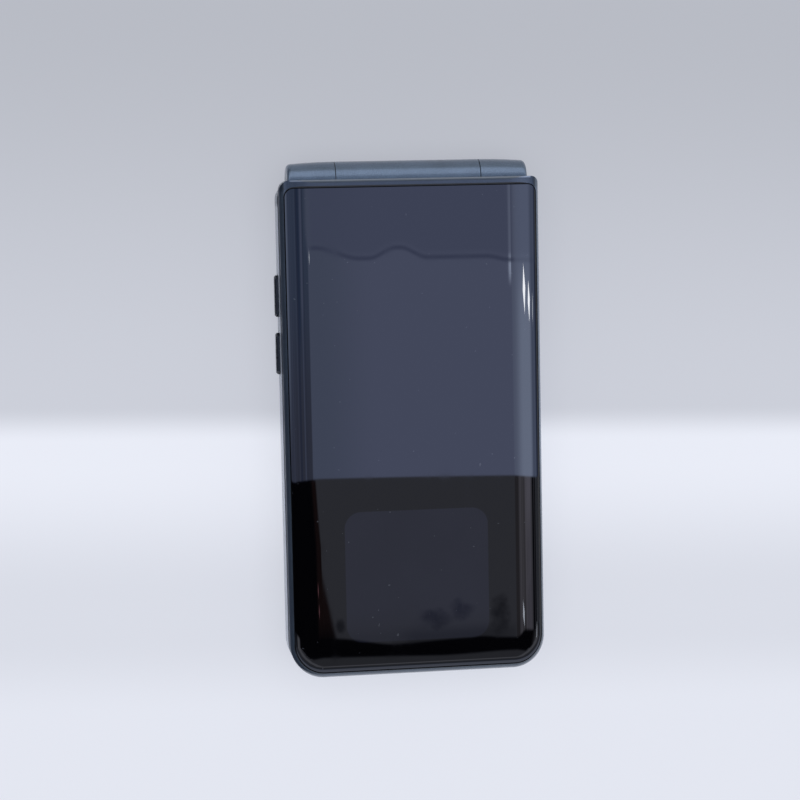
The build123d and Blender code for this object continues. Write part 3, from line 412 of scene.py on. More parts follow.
# Small gleams, each a narrow diamond between two points of the card: ends, half width and colour.
white = (rgb(225, 228, 238), rgb(250, 251, 255))
faint = (rgb(120, 126, 136), rgb(165, 170, 180))
rosy = (rgb(48, 30, 34), rgb(88, 58, 64))
gleam_height = card_height - 0.01
gleams = {"long": ((0.676, -0.010), (0.709, -0.054), 0.052, white),
          "short": ((0.881, -0.029), (0.917, -0.068), 0.05, white),
          "faint": ((1.22, -0.050), (1.38, -0.090), 0.15, faint),
          "low": ((0.489, -0.288), (0.529, -0.313), 0.028, faint),
          "corner": ((1.32, -0.412), (1.07, -0.388), 0.09, faint),
          "left": ((-0.030, 0.010), (-0.024, -0.002), 0.012, faint),
          "rosy": ((0.004, -0.252), (0.010, -0.265), 0.012, rosy),
          "rosy_low": ((0.020, -0.269), (0.026, -0.282), 0.012, rosy)}
for name, (low_end, high_end, half, tones) in gleams.items():
    middle = (low_end[0] + high_end[0]) / 2
    level = (low_end[1] + high_end[1]) / 2
    corners = (low_end, (middle + half, level), high_end, (middle - half, level))
    start = glossy_card("gleam_" + name, [(*corner, gleam_height) for corner in corners])
    glow(start, blend(noise(place(start), 20), *tones))


# ------ lid frame
# The cast metal frame of the lid with the middle of the hinge barrel, in satin steel-blue paint with
# fine flakes under a clear coat. Painted shade makes its side dark and its rim darker than the barrel,
# most of all at the hinge end, while a painted highlight leaves the rim paler along the right side. A
# black line of painted shade runs round the glass, where the pocket's lip lies in the gap.

lid_half_width = 31.2
lid_free_end = -61.95
glass_across = 60.2
glass_from = -60.2
glass_to = 55.65
near_corner = 6.9
far_corner = 2.0
steel_blue = (rgb(84, 98, 114), rgb(104, 120, 138))
# Bare metal where the paint is worn, also used for a painted highlight on the lid's edge.
bare_metal_and_highlight = rgb(158, 166, 176)


def flakes(point, dark, light):
    """The colour of metallic paint and the grain of its flakes and clear coat."""
    flake = noise(point, 7000, 1.0)
    cloud = noise(point, 110, 3.0)
    colour = blend(step(flake * 0.7 + cloud * 0.3, 0.36, 0.64), dark, light)
    grain = bump(flake * 0.5 + noise(point, 1500, 1.0), 0.003 * MM)
    return colour, step(cloud, 0.3, 0.7, 0.30, 0.37), grain


def rubbed_edge(point):
    """Where pockets and tables have rubbed the paint: specks along the sides and the free end."""
    side = lid_half_width * MM
    out = abs(along(point, "X")).maths("MAXIMUM", side + lid_free_end * MM - along(point, "Y"))
    return step(out, side - 0.25 * MM, side) * step(noise(point, 1300, 3.0), 0.60, 0.78)


def from_outline(point, across, low_y, high_y, corner):
    """Distance outward from a rounded outline that is symmetrical in X, in metres."""
    along_x = abs(along(point, "X")) - (across / 2 - corner) * MM
    along_y = abs(along(point, "Y") - (low_y + high_y) / 2 * MM) - ((high_y - low_y) / 2 - corner) * MM
    out_x = along_x.maths("MAXIMUM", 0.0)
    out_y = along_y.maths("MAXIMUM", 0.0)
    inside = along_x.maths("MAXIMUM", along_y).maths("MINIMUM", 0.0)
    return (out_x * out_x + out_y * out_y).maths("SQRT") + inside - corner * MM


def surface(start, **sockets):
    """The shader and the material's output, with each socket's value or signal."""
    named = {name.replace("_", " "): value for name, value in sockets.items()}
    shader = start.node("ShaderNodeBsdfPrincipled", None, named)
    start.node("ShaderNodeOutputMaterial", None, {"Surface": shader})


def dress(made, material):
    """Puts a material on a piece in place of what it has."""
    made.data.materials.clear()
    made.data.materials.append(material)


def give(names, material):
    """Puts a material on CAD nodes."""
    for name in names:
        dress(nodes[name], material)


frame_paint, start, point = begin("frame_paint")
across, length, height = (along(point, axis) for axis in "XYZ")
at_lid = fall(length, 57.3 * MM, 57.8 * MM)
colour, rough, grain = flakes(point, *steel_blue)
rim = step(height, 13.4 * MM, 14.4 * MM)
side = fall(height, 12.6 * MM, 13.4 * MM) * at_lid
hinge_rim_painted_shade = step(length, 54.6 * MM, 55.6 * MM)
# A painted highlight: the rim is left paler along the right side.
right_rim_painted_highlight = step(across, 30.0 * MM, 30.2 * MM) * step(length, -25 * MM, -5 * MM)
# Painted shade: the rim is darker than the barrel, and darker still at its hinge end.
colour = blend(rim * (0.54 + hinge_rim_painted_shade * 0.3 - right_rim_painted_highlight * 0.5), colour, rgb(28, 36, 46))
# Painted shade: the lid's side below the rim is dark, like the gap over the base.
colour = blend(side * 0.85, colour, rgb(16, 20, 28))
colour = blend(rubbed_edge(point) * rim * 0.5, colour, bare_metal_and_highlight)
# A painted highlight: a thin bright line along the lid's edge at the hinge end.
hinge_edge_painted_highlight = band(length, 57.3 * MM, 57.7 * MM, 0.1 * MM) * step(height, 16.4 * MM, 16.6 * MM)
colour = blend(hinge_edge_painted_highlight * 0.6, colour, bare_metal_and_highlight)
# A black line of painted shade round the glass, where the pocket's lip lies in the gap.
outline_far = from_outline(point, glass_across, glass_from, glass_to + 0.2, far_corner)
outline_near = from_outline(point, glass_across, glass_from, glass_to, near_corner)
near_half = fall(length, -0.5 * MM, 0.5 * MM)
outline_gap = outline_near * near_half + outline_far * (1 - near_half)
at_sides = step(abs(across), 26 * MM, 29 * MM) * step(length, -54 * MM, -52 * MM)
narrowed = at_sides * 0.18 * MM + step(across, 26 * MM, 29 * MM) * 0.14 * MM
lip_painted_shade = fall(outline_gap + narrowed, 0.3 * MM, 0.4 * MM) * rim
surface(start, Base_Color=blend(lip_painted_shade, colour, rgb(4, 5, 8)), Metallic=0.75 * (1 - lip_painted_shade),
        Roughness=rough + lip_painted_shade * 0.3, Normal=grain, Coat_Weight=0.85 * (1 - lip_painted_shade) * (1 - side * 0.7),
        Coat_Roughness=0.16)
give(["lid_frame"], frame_paint)


# ------ outer glass
# One pane of black-backed glass over the whole lid, ground to the lid's form: flat in the middle, bent
# down along both sides and rolled over at its edges. It is bonded into the frame's pocket.

glass_thickness = 0.8
bend_from = 23.7
bend_radius = 20.0
roll_radius = 3.3
lid_corner = 8.0
lid_top = 17.1999
roll_centre = lid_half_width - roll_radius
over_edge = 0.25
bend_steps = 14
roll_steps = 12
flat_steps = 8


def lid_height(x, y):
    """Height of the lid's outer surface in millimetres: the arch, or the roll over its edge."""
    def arch(across, radius):
        over = max(abs(across) - bend_from, 0.0)
        return lid_top - bend_radius + math.sqrt(radius ** 2 - over ** 2)

    side = lid_half_width - abs(x)
    end = y - lid_free_end
    if side < lid_corner and end < lid_corner:
        across, ahead = lid_corner - side, lid_corner - end
        from_centre = math.hypot(across, ahead)
        outward, inside = across / from_centre, lid_corner - from_centre
    elif side < end:
        outward, inside = 1.0, side
    else:
        outward, inside = 0.0, end
    out = roll_radius - inside
    centre_x = abs(x) - out * outward
    centre_slope = max(centre_x - bend_from, 0.0) / (bend_radius - roll_radius)
    if out <= roll_radius * centre_slope * outward:
        return arch(x, bend_radius)
    return arch(centre_x, bend_radius - roll_radius) + math.sqrt(max(roll_radius ** 2 - out ** 2, 0.0))


bend_angle = math.asin((roll_centre - bend_from) / (bend_radius - roll_radius))
columns = [bend_from - 0.15]
columns += [bend_from + bend_radius * math.sin(bend_angle * i / bend_steps)
            for i in range(bend_steps + 1)]
roll_end = math.asin((glass_across / 2 + over_edge - roll_centre) / roll_radius)
columns += [roll_centre + roll_radius * math.sin(bend_angle + (roll_end - bend_angle) * i / roll_steps)
            for i in range(1, roll_steps + 1)]
columns = [-x for x in reversed(columns)] + [x / 4 * bend_from for x in range(-3, 4)] + columns
roll_from = lid_free_end + roll_radius
roll_lean = math.asin((roll_from - glass_from + over_edge) / roll_radius)
rows = [roll_from - roll_radius * math.sin(roll_lean * (roll_steps - i) / roll_steps)
        for i in range(roll_steps + 1)]
rows += [roll_from + 0.4 * i for i in range(1, roll_steps + 1)]
rows += [rows[-1] + (glass_to + over_edge - rows[-1]) * i / flat_steps for i in range(1, flat_steps + 1)]


def edit(choice):
    """Enters edit mode and selects all or none of the active mesh."""
    bpy.ops.object.mode_set(mode="EDIT")
    bpy.ops.mesh.select_all(action=choice)


def leave_edit(outward=True):
    """Turns the mesh's normals outward, unless told not to, and leaves edit mode."""
    if outward:
        bpy.ops.mesh.select_all(action="SELECT")
        bpy.ops.mesh.normals_make_consistent()
    bpy.ops.object.mode_set(mode="OBJECT")


def thicken(depth):
    """Gives the active flat mesh a depth along Z."""
    edit("SELECT")
    bpy.ops.mesh.extrude_region_move(TRANSFORM_OT_translate={"value": (0, 0, depth)})
    leave_edit()


bpy.ops.mesh.primitive_grid_add(x_subdivisions=len(columns) - 1, y_subdivisions=len(rows) - 1, size=1)
pane = just_added("outer_glass_pane")
for vertex in pane.data.vertices:
    x = columns[round((vertex.co.x + 0.5) * (len(columns) - 1))]
    y = rows[round((vertex.co.y + 0.5) * (len(rows) - 1))]
    vertex.co = Vector((x, y, lid_height(x, y))) * MM
thicken(-glass_thickness * MM)

# The pane's outline: a block with two corner radii, cut with the pane and then deleted.
glass_middle = (glass_from + glass_to) / 2
bpy.ops.mesh.primitive_cube_add(size=1, location=(0, glass_middle * MM, lid_top * MM))
outline = bpy.context.object
outline.scale = (glass_across * MM, (glass_to - glass_from) * MM, 20 * MM)
bpy.ops.object.transform_apply()
for corner_y, radius, segments in ((glass_from, near_corner, 24), (glass_to, far_corner, 10)):
    edit("DESELECT")
    leave_edit(outward=False)
    for edge in outline.data.edges:
        ends = [outline.data.vertices[i].co for i in edge.vertices]
        upright = abs(ends[0].z - ends[1].z) > 10 * MM
        edge.select = upright and abs(ends[0].y - corner_y * MM) < 0.1 * MM
    bpy.ops.object.mode_set(mode="EDIT")
    bpy.ops.mesh.select_mode(type="EDGE")
    bpy.ops.mesh.bevel(offset=radius * MM, segments=segments, affect="EDGES")
    leave_edit(outward=False)
bpy.ops.object.select_all(action="DESELECT")
pane.select_set(True)
bpy.context.view_layer.objects.active = pane
cut = pane.modifiers.new("outline", "BOOLEAN")
cut.operation = "INTERSECT"
cut.solver = "EXACT"
cut.object = outline
bpy.ops.object.modifier_apply(modifier=cut.name)
bpy.data.objects.remove(outline)
bpy.ops.object.shade_smooth_by_angle(angle=math.radians(38))

display_aside = -0.4
display_across = 34.8
display_from = -53.3
display_to = -21.6
glass_material, start, point = begin("outer_glass", (display_aside * MM, 0, 0))
display = fall(from_outline(point, display_across, display_from, display_to, 4.0),
               -0.12 * MM, 0.12 * MM)
shade = noise(point, 60, 2.0)
panel_tone = blend(shade, rgb(16, 18, 30), rgb(24, 26, 39))
# A painted reflection: the panel is darker towards the free end, as if it mirrored something dark.
free_end_painted_reflection = step(along(point, "Y"), display_from * MM, -44 * MM, 0.55, 0.0)
panel_tone = blend(free_end_painted_reflection, panel_tone, rgb(8, 10, 17))
smear = noise(place(start, turn=(0, 0, 0.5), stretch=(1, 0.3, 1)), 160, 4.0)
hairline = noise(place(start, turn=(0, 0, 1.1), stretch=(1, 0.02, 1)), 2600, 1.0)
dust = noise(point, 1300, 0.0)
colour = blend(display, rgb(2, 2, 3), panel_tone)
colour = blend(step(dust, 0.86, 0.88) * 0.3, colour, rgb(96, 100, 110))
surface(start, Base_Color=colour, Roughness=step(smear, 0.5, 0.8, 0.012, 0.045), IOR=1.62,
        Normal=bump(step(hairline, 0.74, 0.8), 0.0004 * MM))
dress(pane, glass_material)
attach(pane, "lid")
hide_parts("front_glass")
give(["front_glass"], glass_material)


# ------ sub display
# The outer display: a thin black panel bonded behind the glass, with its driver's edge and a fine
# raster of lit rows.

def waves(signal, pitch):
    """Ripples from -1 to 1 along a signal, at a pitch in millimetres."""
    return (signal * (2 * math.pi / (pitch * MM))).maths("SINE")


sub_display_material, start, point = begin("sub_display_panel")
raster = waves(along(point, "Y"), 0.18) * 0.5 + 0.5
surface(start, Base_Color=blend(raster, rgb(16, 17, 24), rgb(24, 26, 38)),
        Roughness=step(noise(point, 400), 0.3, 0.7, 0.12, 0.2), Normal=bump(raster, 0.002 * MM))
give(["sub_display"], sub_display_material)


# ------ inside display
# The main display behind its window: black glass with a printed border, and an unlit panel that looks
# a little bluer than the border. Fingers have left faint smears on the window.

border = 1.5
free_end_border = 4.6
low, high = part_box("main_display")
panel_width = (high.x - low.x) / MM - 2 * border
panel_edge = (panel_width, low.y / MM + free_end_border, high.y / MM - border, 1.2)
window_material, start, point = begin("display_window_glass")
lit_area = fall(from_outline(point, *panel_edge), -0.1 * MM, 0.1 * MM)
smear = noise(place(start, turn=(0, 0, 0.7), stretch=(1, 0.25, 1)), 210, 4.0, 0.6)
pixel_rows = waves(along(point, "Y"), 0.3) * 0.5 + 0.5
colour = blend(lit_area, rgb(3, 3, 4), blend(pixel_rows, rgb(15, 16, 22), rgb(18, 20, 27)))
surface(start, Base_Color=colour, Roughness=step(smear, 0.45, 0.8, 0.02, 0.11), IOR=1.5)
give(["display_window"], window_material)
panel_material, start, point = begin("display_panel")
surface(start, Base_Color=blend(noise(point, 300), rgb(10, 11, 15), rgb(18, 20, 26)),
        Roughness=step(noise(point, 900), 0.3, 0.7, 0.2, 0.3))
give(["main_display"], panel_material)


# ------ lid inner cover
# Moulded cover on the inside of the lid, in dark blue-grey plastic with a fine spark-eroded grain. The
# earpiece's woven mesh, the inner camera and two rubber bumpers sit in it.

def moulded(name, dark, light, smooth, grain_scale=2400, grain_depth=0.006):
    """Moulded plastic: a spark-eroded grain, slow shade changes and polished-looking rubbed spots."""
    material, start, point = begin(name)
    grain = noise(point, grain_scale, 2.0, 0.6)
    cloud = noise(point, 70, 3.0)
    colour = blend(step(cloud * 0.6 + grain * 0.4, 0.34, 0.66), dark, light)
    shine = step(noise(point, 240, 4.0), 0.58, 0.74)
    surface(start, Base_Color=colour, Normal=bump(grain, grain_depth * MM),
            Roughness=step(grain, 0.2, 0.8, smooth, smooth + 0.12) - shine * 0.06)
    return material


give(["lid_inner_cover"], moulded("inner_cover_plastic", rgb(40, 47, 58), rgb(52, 60, 72), 0.42))
give(["lid_bumpers"], moulded("bumper_rubber", rgb(28, 28, 30), rgb(44, 44, 47), 0.75, 3600, 0.012))

mesh_material, start, point = begin("earpiece_weave")
wire_pitch = 0.28
weave = waves(along(point, "X"), wire_pitch) * waves(along(point, "Y"), wire_pitch) * 0.5 + 0.5
surface(start, Base_Color=blend(step(weave, 0.3, 0.8), rgb(10, 10, 11), rgb(104, 106, 110)), Metallic=0.8,
        Roughness=step(weave, 0.2, 0.9, 0.6, 0.35), Normal=bump(weave, 0.04 * MM))
give(["earpiece_mesh"], mesh_material)


def from_axis(point):
    """Distance from the upright axis through the place's centre."""
    across = along(point, "X")
    length = along(point, "Y")
    return (across * across + length * length).maths("SQRT")


def lens_face(name, centre, glass_edge, iris, tint):
    """A small camera seen end-on: black barrel rings, a coated lens and a dark iris."""
    material, start, point = begin(name, (centre.x, centre.y, 0))
    radius = from_axis(point)
    rings = waves(radius, 0.35) * 0.5 + 0.5
    barrel = blend(rings, rgb(6, 6, 7), rgb(26, 26, 29))
    coat = blend(step(radius, iris, glass_edge), rgb(*tint), rgb(12, 12, 16))
    colour = blend(step(radius, glass_edge, glass_edge + 0.08 * MM), coat, barrel)
    colour = blend(fall(radius, iris * 0.5, iris * 0.55), colour, rgb(2, 2, 3))
    ground = step(radius, glass_edge - 0.02 * MM, glass_edge + 0.06 * MM)
    surface(start, Base_Color=colour, Roughness=0.03 + ground * 0.3 + noise(point, 1500) * 0.04,
            Normal=bump(rings * ground, 0.03 * MM))
    return material


low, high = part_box("front_camera")
give(["front_camera"], lens_face("front_camera_lens", (low + high) / 2, 0.9 * MM, 0.5 * MM, (44, 36, 70)))


# ------ lid parts out of sight
# Pressed steel tray, circuit board, earpiece capsule, magnet and the click unit of the hinge, in the
# finishes that such parts have.

def worked_metal(name, dark, light, smooth, stretch=(1, 0.03, 1), scale=2600, depth=0.002):
    """Bare metal with the fine lines that rolling, turning or brushing leaves, and dull patches."""
    material, start = new_material(name)
    line = noise(place(start, stretch=stretch), scale, 3.0, 0.6)
    patch = noise(place(start), 130, 4.0)
    colour = blend(step(line * 0.6 + patch * 0.4, 0.35, 0.65), dark, light)
    surface(start, Base_Color=colour, Metallic=1.0, Normal=bump(line, depth * MM),
            Roughness=step(patch, 0.3, 0.7, smooth, smooth + 0.14))
    return material


pressed_steel = worked_metal("pressed_steel", rgb(150, 151, 153), rgb(186, 187, 189), 0.3)
turned_steel = worked_metal("turned_steel", rgb(160, 161, 163), rgb(200, 200, 202), 0.24, (0.04, 1, 1))
spring_steel = worked_metal("spring_steel", rgb(120, 121, 125), rgb(168, 169, 174), 0.2, (1, 1, 1), 4000)
nickel = worked_metal("magnet_nickel", rgb(170, 170, 170), rgb(196, 195, 193), 0.26, (1, 1, 1),
                      900, 0.004)
black_plastic = moulded("black_plastic", rgb(20, 20, 21), rgb(36, 36, 38), 0.5)
give(["lid_chassis", "shield_cans", "card_socket"], pressed_steel)
give(["hinge_shaft", "hinge_cam", "vibration_motor", "case_screws", "microphone", "usb_connector"],
     turned_steel)
give(["hinge_spring"], spring_steel)
give(["lid_magnet"], nickel)
give(["hinge_case", "hinge_bush", "earpiece", "loudspeaker", "headphone_jack", "side_switches",
      "battery_contacts", "rear_camera"], black_plastic)

board_material, start, point = begin("board_green")
lane = noise(place(start, stretch=(1, 0.15, 1)), 900, 0.0)
cross_lane = noise(place(start, stretch=(0.15, 1, 1)), 900, 0.0)
tracks = band(lane, 0.47, 0.53, 0.01).maths("MAXIMUM", band(cross_lane, 0.48, 0.52, 0.01))
cells = point.node("ShaderNodeTexVoronoi", {"feature": "F1"},
                   {"Vector": point, "Scale": 520, "Randomness": 0.7})
pads = fall(cells, 0.16, 0.2)
lacquer = blend(noise(point, 200), rgb(14, 74, 44), rgb(20, 92, 54))
colour = blend(tracks, lacquer, rgb(38, 120, 70))
surface(start, Base_Color=blend(pads, colour, rgb(196, 168, 98)), Metallic=pads * 0.9,
        Roughness=0.32 + tracks * 0.06, Normal=bump(tracks + pads, 0.02 * MM))
give(["lid_board", "main_board"], board_material)

film_material, start, point = begin("flex_film")
copper = band(waves(along(point, "X"), 0.5), -0.3, 0.6, 0.1)
haze = noise(point, 500, 3.0)
film = blend(haze, rgb(150, 92, 30), rgb(172, 112, 44))
surface(start, Base_Color=blend(copper, film, rgb(118, 60, 22)),
        Roughness=step(haze, 0.3, 0.7, 0.28, 0.4), Normal=bump(copper, 0.01 * MM))
give(["hinge_flex", "key_dome_sheet"], film_material)


# ------ base frame
# The metal frame of the keypad half with the two hinge ears. Its ears match the barrel, and its side
# band is a paler silver with the same clear coat, partly a painted reflection of the pale surroundings.

def silver_side_and_reflection(point):
    """The paler silver of the phone's sides, partly a painted reflection of the pale surroundings, and
    how far it applies: up to the hinge ears.
    """
    colour, _, _ = flakes(point, rgb(176, 183, 192), rgb(200, 206, 214))
    return colour, fall(along(point, "Y"), 51.0 * MM, 52.4 * MM)


base_paint, start, point = begin("base_frame_paint")
colour, rough, grain = flakes(point, *steel_blue)
band_colour, side_band = silver_side_and_reflection(point)
# The side band's paler silver is partly a painted reflection of the pale surroundings.
colour = blend(side_band, colour, band_colour)
colour = blend(rubbed_edge(point) * side_band * 0.6, colour, rgb(196, 200, 206))
surface(start, Base_Color=colour, Metallic=0.75, Roughness=rough, Normal=grain, Coat_Weight=0.9,
        Coat_Roughness=0.14)
give(["base_mid_frame"], base_paint)


# ------ side keys
# Two volume keys on the left and a quick key on the right, in dark glossy paint. A painted highlight
# makes their bevelled ends bright.

for key in ("volume_up_key", "volume_down_key", "quick_key"):
    low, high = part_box(key)
    material, start, point = begin(key + "_paint", (low + high) / 2)
    end = abs(along(point, "Y")) - ((high.y - low.y) / 2 - 0.45 * MM)
    top = abs(along(point, "Z")) - ((high.z - low.z) / 2 - 0.35 * MM)
    colour, rough, grain = flakes(point, rgb(22, 27, 35), rgb(32, 38, 48))
    # A painted highlight makes the bevels round each key's ends and edges bright.
    rim = step(end.maths("MAXIMUM", top), -0.1 * MM, 0.2 * MM)
    colour = blend(rim * 0.7, colour, rgb(104, 114, 128))
    surface(start, Base_Color=colour, Metallic=0.4, Roughness=rough - 0.06, Normal=grain, Coat_Weight=0.8,
            Coat_Roughness=0.1)
    give([key], material)


# ------ keypad cover
# Moulded cover round the keys, painted dark blue-grey over a fine grain, with a side in the paler silver
# of the frame below it, partly a painted reflection of the pale surroundings. It shines a little along
# its middle, where thumbs slide over it.

cover_material, start, point = begin("keypad_cover_paint")
grain = noise(point, 3000, 2.0, 0.6)
cloud = noise(point, 80, 3.0)
slide = fall(abs(along(point, "X")), 10 * MM, 30 * MM) * step(noise(point, 260, 4.0), 0.5, 0.7)
colour = blend(step(cloud * 0.6 + grain * 0.4, 0.34, 0.66), rgb(46, 54, 66), rgb(58, 67, 80))
colour = blend(rubbed_edge(point) * 0.3, colour, rgb(110, 120, 132))
band_colour, side_band = silver_side_and_reflection(point)
below_bevel = fall(along(point, "Z"), 8.98 * MM, 9.04 * MM)
past_outline = from_outline(point, 2 * lid_half_width, lid_free_end, 60.0, lid_corner)
# Its side wall takes the sides' paler silver, partly a painted reflection of the pale surroundings.
wall = step(past_outline, -1.0 * MM, -0.8 * MM) * below_bevel * side_band
surface(start, Base_Color=blend(wall, colour, band_colour), Metallic=0.25 + wall * 0.5,
        Roughness=step(grain, 0.2, 0.8, 0.40, 0.52) - slide * 0.08 - wall * 0.12,
        Normal=bump(grain, 0.006 * MM))
give(["base_front_cover"], cover_material)


# ------ number keys
# Twelve keys moulded in dark plastic. Each top has a soft sheen where the thumb presses, and a painted
# highlight makes its bevel paler.

def key_cap(key, dark, light, smooth=0.3):
    """Plastic for one key: its rim is paler with a painted highlight, its middle smoother, and the whole
    has a faint grain.
    """
    low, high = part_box(key)
    half = (high - low) / 2
    material, start, point = begin(key + "_plastic", (low + high) / 2)
    on_phone = place(start)
    out_x = abs(along(point, "X")) / (half.x - 0.5 * MM)
    out_y = abs(along(point, "Y")) / (half.y - 0.5 * MM)
    out = out_x.maths("MAXIMUM", out_y)
    grain = noise(on_phone, 3200, 2.0)
    colour = blend(step(grain, 0.3, 0.7), dark, light)
    # A painted highlight on the key's bevel.
    colour = blend(step(out, 0.90, 1.0) * 0.6, colour, rgb(98, 108, 122))
    thumb = fall(out, 0.3, 1.0) * step(noise(on_phone, 240, 3.0), 0.35, 0.65)
    surface(start, Base_Color=colour, Roughness=smooth + grain * 0.08 - thumb * 0.1,
            Normal=bump(grain, 0.003 * MM), Coat_Weight=0.2, Coat_Roughness=0.2)
    give([key], material)


for name in (*"123456789", "star", "0", "hash"):
    key_cap("key_" + name, rgb(34, 41, 52), rgb(44, 52, 64))

print_thickness = 0.018 * MM
print_sunk = 0.004 * MM
figure_height = 4.6
star_height = 6.4
capital_share = 0.7
bead_size = (2.4 * MM, 0.5 * MM, 0.16 * MM)
bead_sunk = 0.03 * MM


def ink(name, tones):
    """Pad-printed ink: slightly mottled, with a soft grain."""
    material, start = new_material(name)
    mottle = noise(place(start), 2600, 2.0)
    surface(start, Base_Color=blend(step(mottle, 0.3, 0.7), rgb(*tones[0]), rgb(*tones[1])),
            Roughness=step(mottle, 0.3, 0.7, 0.42, 0.55), Normal=bump(mottle, 0.002 * MM))
    return material


def on_key(mark, key, material, shift=(0, 0)):
    """Lays a flat mark on its key's top, centred and shifted, and lets it move with the key."""
    low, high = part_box(key)
    corners = [vertex.co for vertex in mark.data.vertices]
    middle = [(min(c[i] for c in corners) + max(c[i] for c in corners)) / 2 for i in range(2)]
    bottom = min(c.z for c in corners)
    across = (low.x + high.x) / 2 + shift[0] * MM - middle[0]
    length = (low.y + high.y) / 2 + shift[1] * MM - middle[1]
    mark.data.transform(Matrix.Translation((across, length, high.z - bottom - print_sunk)))
    dress(mark, material)
    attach(mark, key + "_body")
    return mark


def figure(name, character, tall):
    """One printed figure as a thin mesh at the origin."""
    bpy.ops.object.text_add()
    made = bpy.context.object
    made.data.body = character
    made.data.size = tall / capital_share * MM
    made.data.resolution_u = 6
    made.data.extrude = print_thickness / 2
    bpy.ops.object.convert(target="MESH")
    return just_added(name)


white_ink = ink("key_print_white", ((206, 210, 214), (228, 231, 235)))
figures = {"key_" + digit: digit for digit in "1234567890"}
figures.update({"key_star": "*", "key_hash": "#"})
for key, character in figures.items():
    tall = star_height if key == "key_star" else figure_height
    on_key(figure("print_" + key, character, tall), key, white_ink)

bpy.ops.mesh.primitive_cube_add(size=1)
bead = just_added("key_5_bead")
bead.scale = bead_size
bpy.ops.object.transform_apply()
edit("SELECT")
bpy.ops.mesh.bevel(offset=0.07 * MM, segments=4, affect="EDGES")
leave_edit(outward=False)
bpy.ops.object.shade_smooth_by_angle(angle=math.radians(40))
bead_material = nodes["key_5"].data.materials[0]
on_key(bead, "key_5", bead_material, (0, -4.3))
bead.data.transform(Matrix.Translation((0, 0, -bead_sunk)))


# ------ function keys
# Two soft keys, the call and end keys and the clear key round the navigation ring, in the same plastic,
# each with a small printed mark.

for key in ("left_soft_key", "right_soft_key", "call_key", "end_key", "clear_key"):
    key_cap(key, rgb(38, 46, 57), rgb(49, 58, 70))


def plate(name, corners, across, along_y):
    """A thin flat mark: a bar for four corners, a triangle for three."""
    bpy.ops.mesh.primitive_circle_add(vertices=corners, radius=1, fill_type="NGON",
                                      rotation=(0, 0, math.radians(45 if corners == 4 else 0)))
    made = just_added(name)
    bpy.ops.object.transform_apply()
    places = [vertex.co for vertex in made.data.vertices]
    reach = [max(co[i] for co in places) - min(co[i] for co in places) for i in range(2)]
    made.scale = (across * MM / reach[0], along_y * MM / reach[1], 1)
    bpy.ops.object.transform_apply(location=False, rotation=False)
    thicken(print_thickness)
    return made


def select_faces(made, wanted):
    """Enters edit mode with only those faces of the active mesh selected that a test holds for."""
    edit("DESELECT")
    bpy.ops.mesh.select_mode(type="FACE")
    leave_edit(outward=False)
    for face in made.data.polygons:
        face.select = wanted(face)
    bpy.ops.object.mode_set(mode="EDIT")


handset_radius = 3.0 * MM
handset_width = 0.85 * MM
handset_sweep = 106
pad_from = 29
pad_middle = 41
pad_depth = 0.9 * MM


def handset(name, back):
    """A handset mark: a bent bar with a pad at each end, its back turned to an angle in degrees."""
    bpy.ops.mesh.primitive_plane_add(size=1, location=(handset_radius, 0, 0),
                                     rotation=(math.radians(90), 0, 0))
    made = just_added(name)
    made.scale = (handset_width, print_thickness, 1)
    bpy.ops.object.transform_apply()
    edit("SELECT")
    bpy.ops.mesh.spin(steps=14, angle=math.radians(handset_sweep), center=(0, 0, 0), axis=(0, 0, 1))
    leave_edit()
    total = sum((vertex.co for vertex in made.data.vertices), Vector((0, 0, 0)))
    made.data.transform(Matrix.Rotation(-math.atan2(total.y, total.x), 4, "Z"))
    for side in (-1, 1):
        def under_pad(face):
            angle = math.atan2(face.center.y, face.center.x)
            inward = face.normal.dot(face.center.normalized()) < -0.9
            return inward and side * angle > math.radians(pad_from)

        select_faces(made, under_pad)
        pad = math.radians(pad_middle * side)
        inward_step = (-pad_depth * math.cos(pad), -pad_depth * math.sin(pad), 0)
        bpy.ops.mesh.extrude_region_move(TRANSFORM_OT_translate={"value": inward_step})
        leave_edit(outward=False)
    made.data.transform(Matrix.Rotation(math.radians(back), 4, "Z"))
    return made


green_ink = ink("key_print_green", ((44, 150, 84), (60, 172, 100)))
red_ink = ink("key_print_red", ((186, 44, 44), (206, 62, 58)))
on_key(handset("print_call", 225), "call_key", green_ink)
on_key(handset("print_end", 90), "end_key", red_ink)
for side in ("left", "right"):
    on_key(plate("print_" + side + "_soft_bar", 4, 3.4, 0.6), side + "_soft_key", white_ink)
clear_head = plate("print_clear_head", 3, 1.9, 1.7)
clear_head.data.transform(Matrix.Rotation(math.radians(90), 4, "Z"))
on_key(clear_head, "clear_key", white_ink, (-1.3, 0))
on_key(plate("print_clear_shaft", 4, 2.6, 0.55), "clear_key", white_ink, (0.75, 0))


# ------ navigation ring
# A turned metal ring with fine circular lines, bright along its outer bevel, and a metal centre key.
# Four small arrowheads are printed on the one and a thin ring on the other.

ring_low, ring_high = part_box("nav_ring")
ring_centre = (ring_low + ring_high) / 2


def turned_metal(name, pitch, dark, light, bright_from, bright_to):
    """Metal with concentric turning lines and a polished bevel between two radii."""
    material, start, point = begin(name, (ring_centre.x, ring_centre.y, 0))
    radius = from_axis(point)
    jitter = noise(place(start), 300, 2.0) * (0.04 * MM)
    groove = waves(radius + jitter, pitch) * 0.5 + 0.5
    bevel = band(radius, bright_from * MM, bright_to * MM, 0.05 * MM)
    colour = blend(groove * 0.5 + noise(point, 2000) * 0.5, rgb(*dark), rgb(*light))
    surface(start, Base_Color=blend(bevel * 0.6, colour, rgb(190, 196, 204)), Metallic=0.9,
            Roughness=step(groove, 0.2, 0.8, 0.26, 0.36) - bevel * 0.1, Normal=bump(groove, 0.004 * MM))
    return material


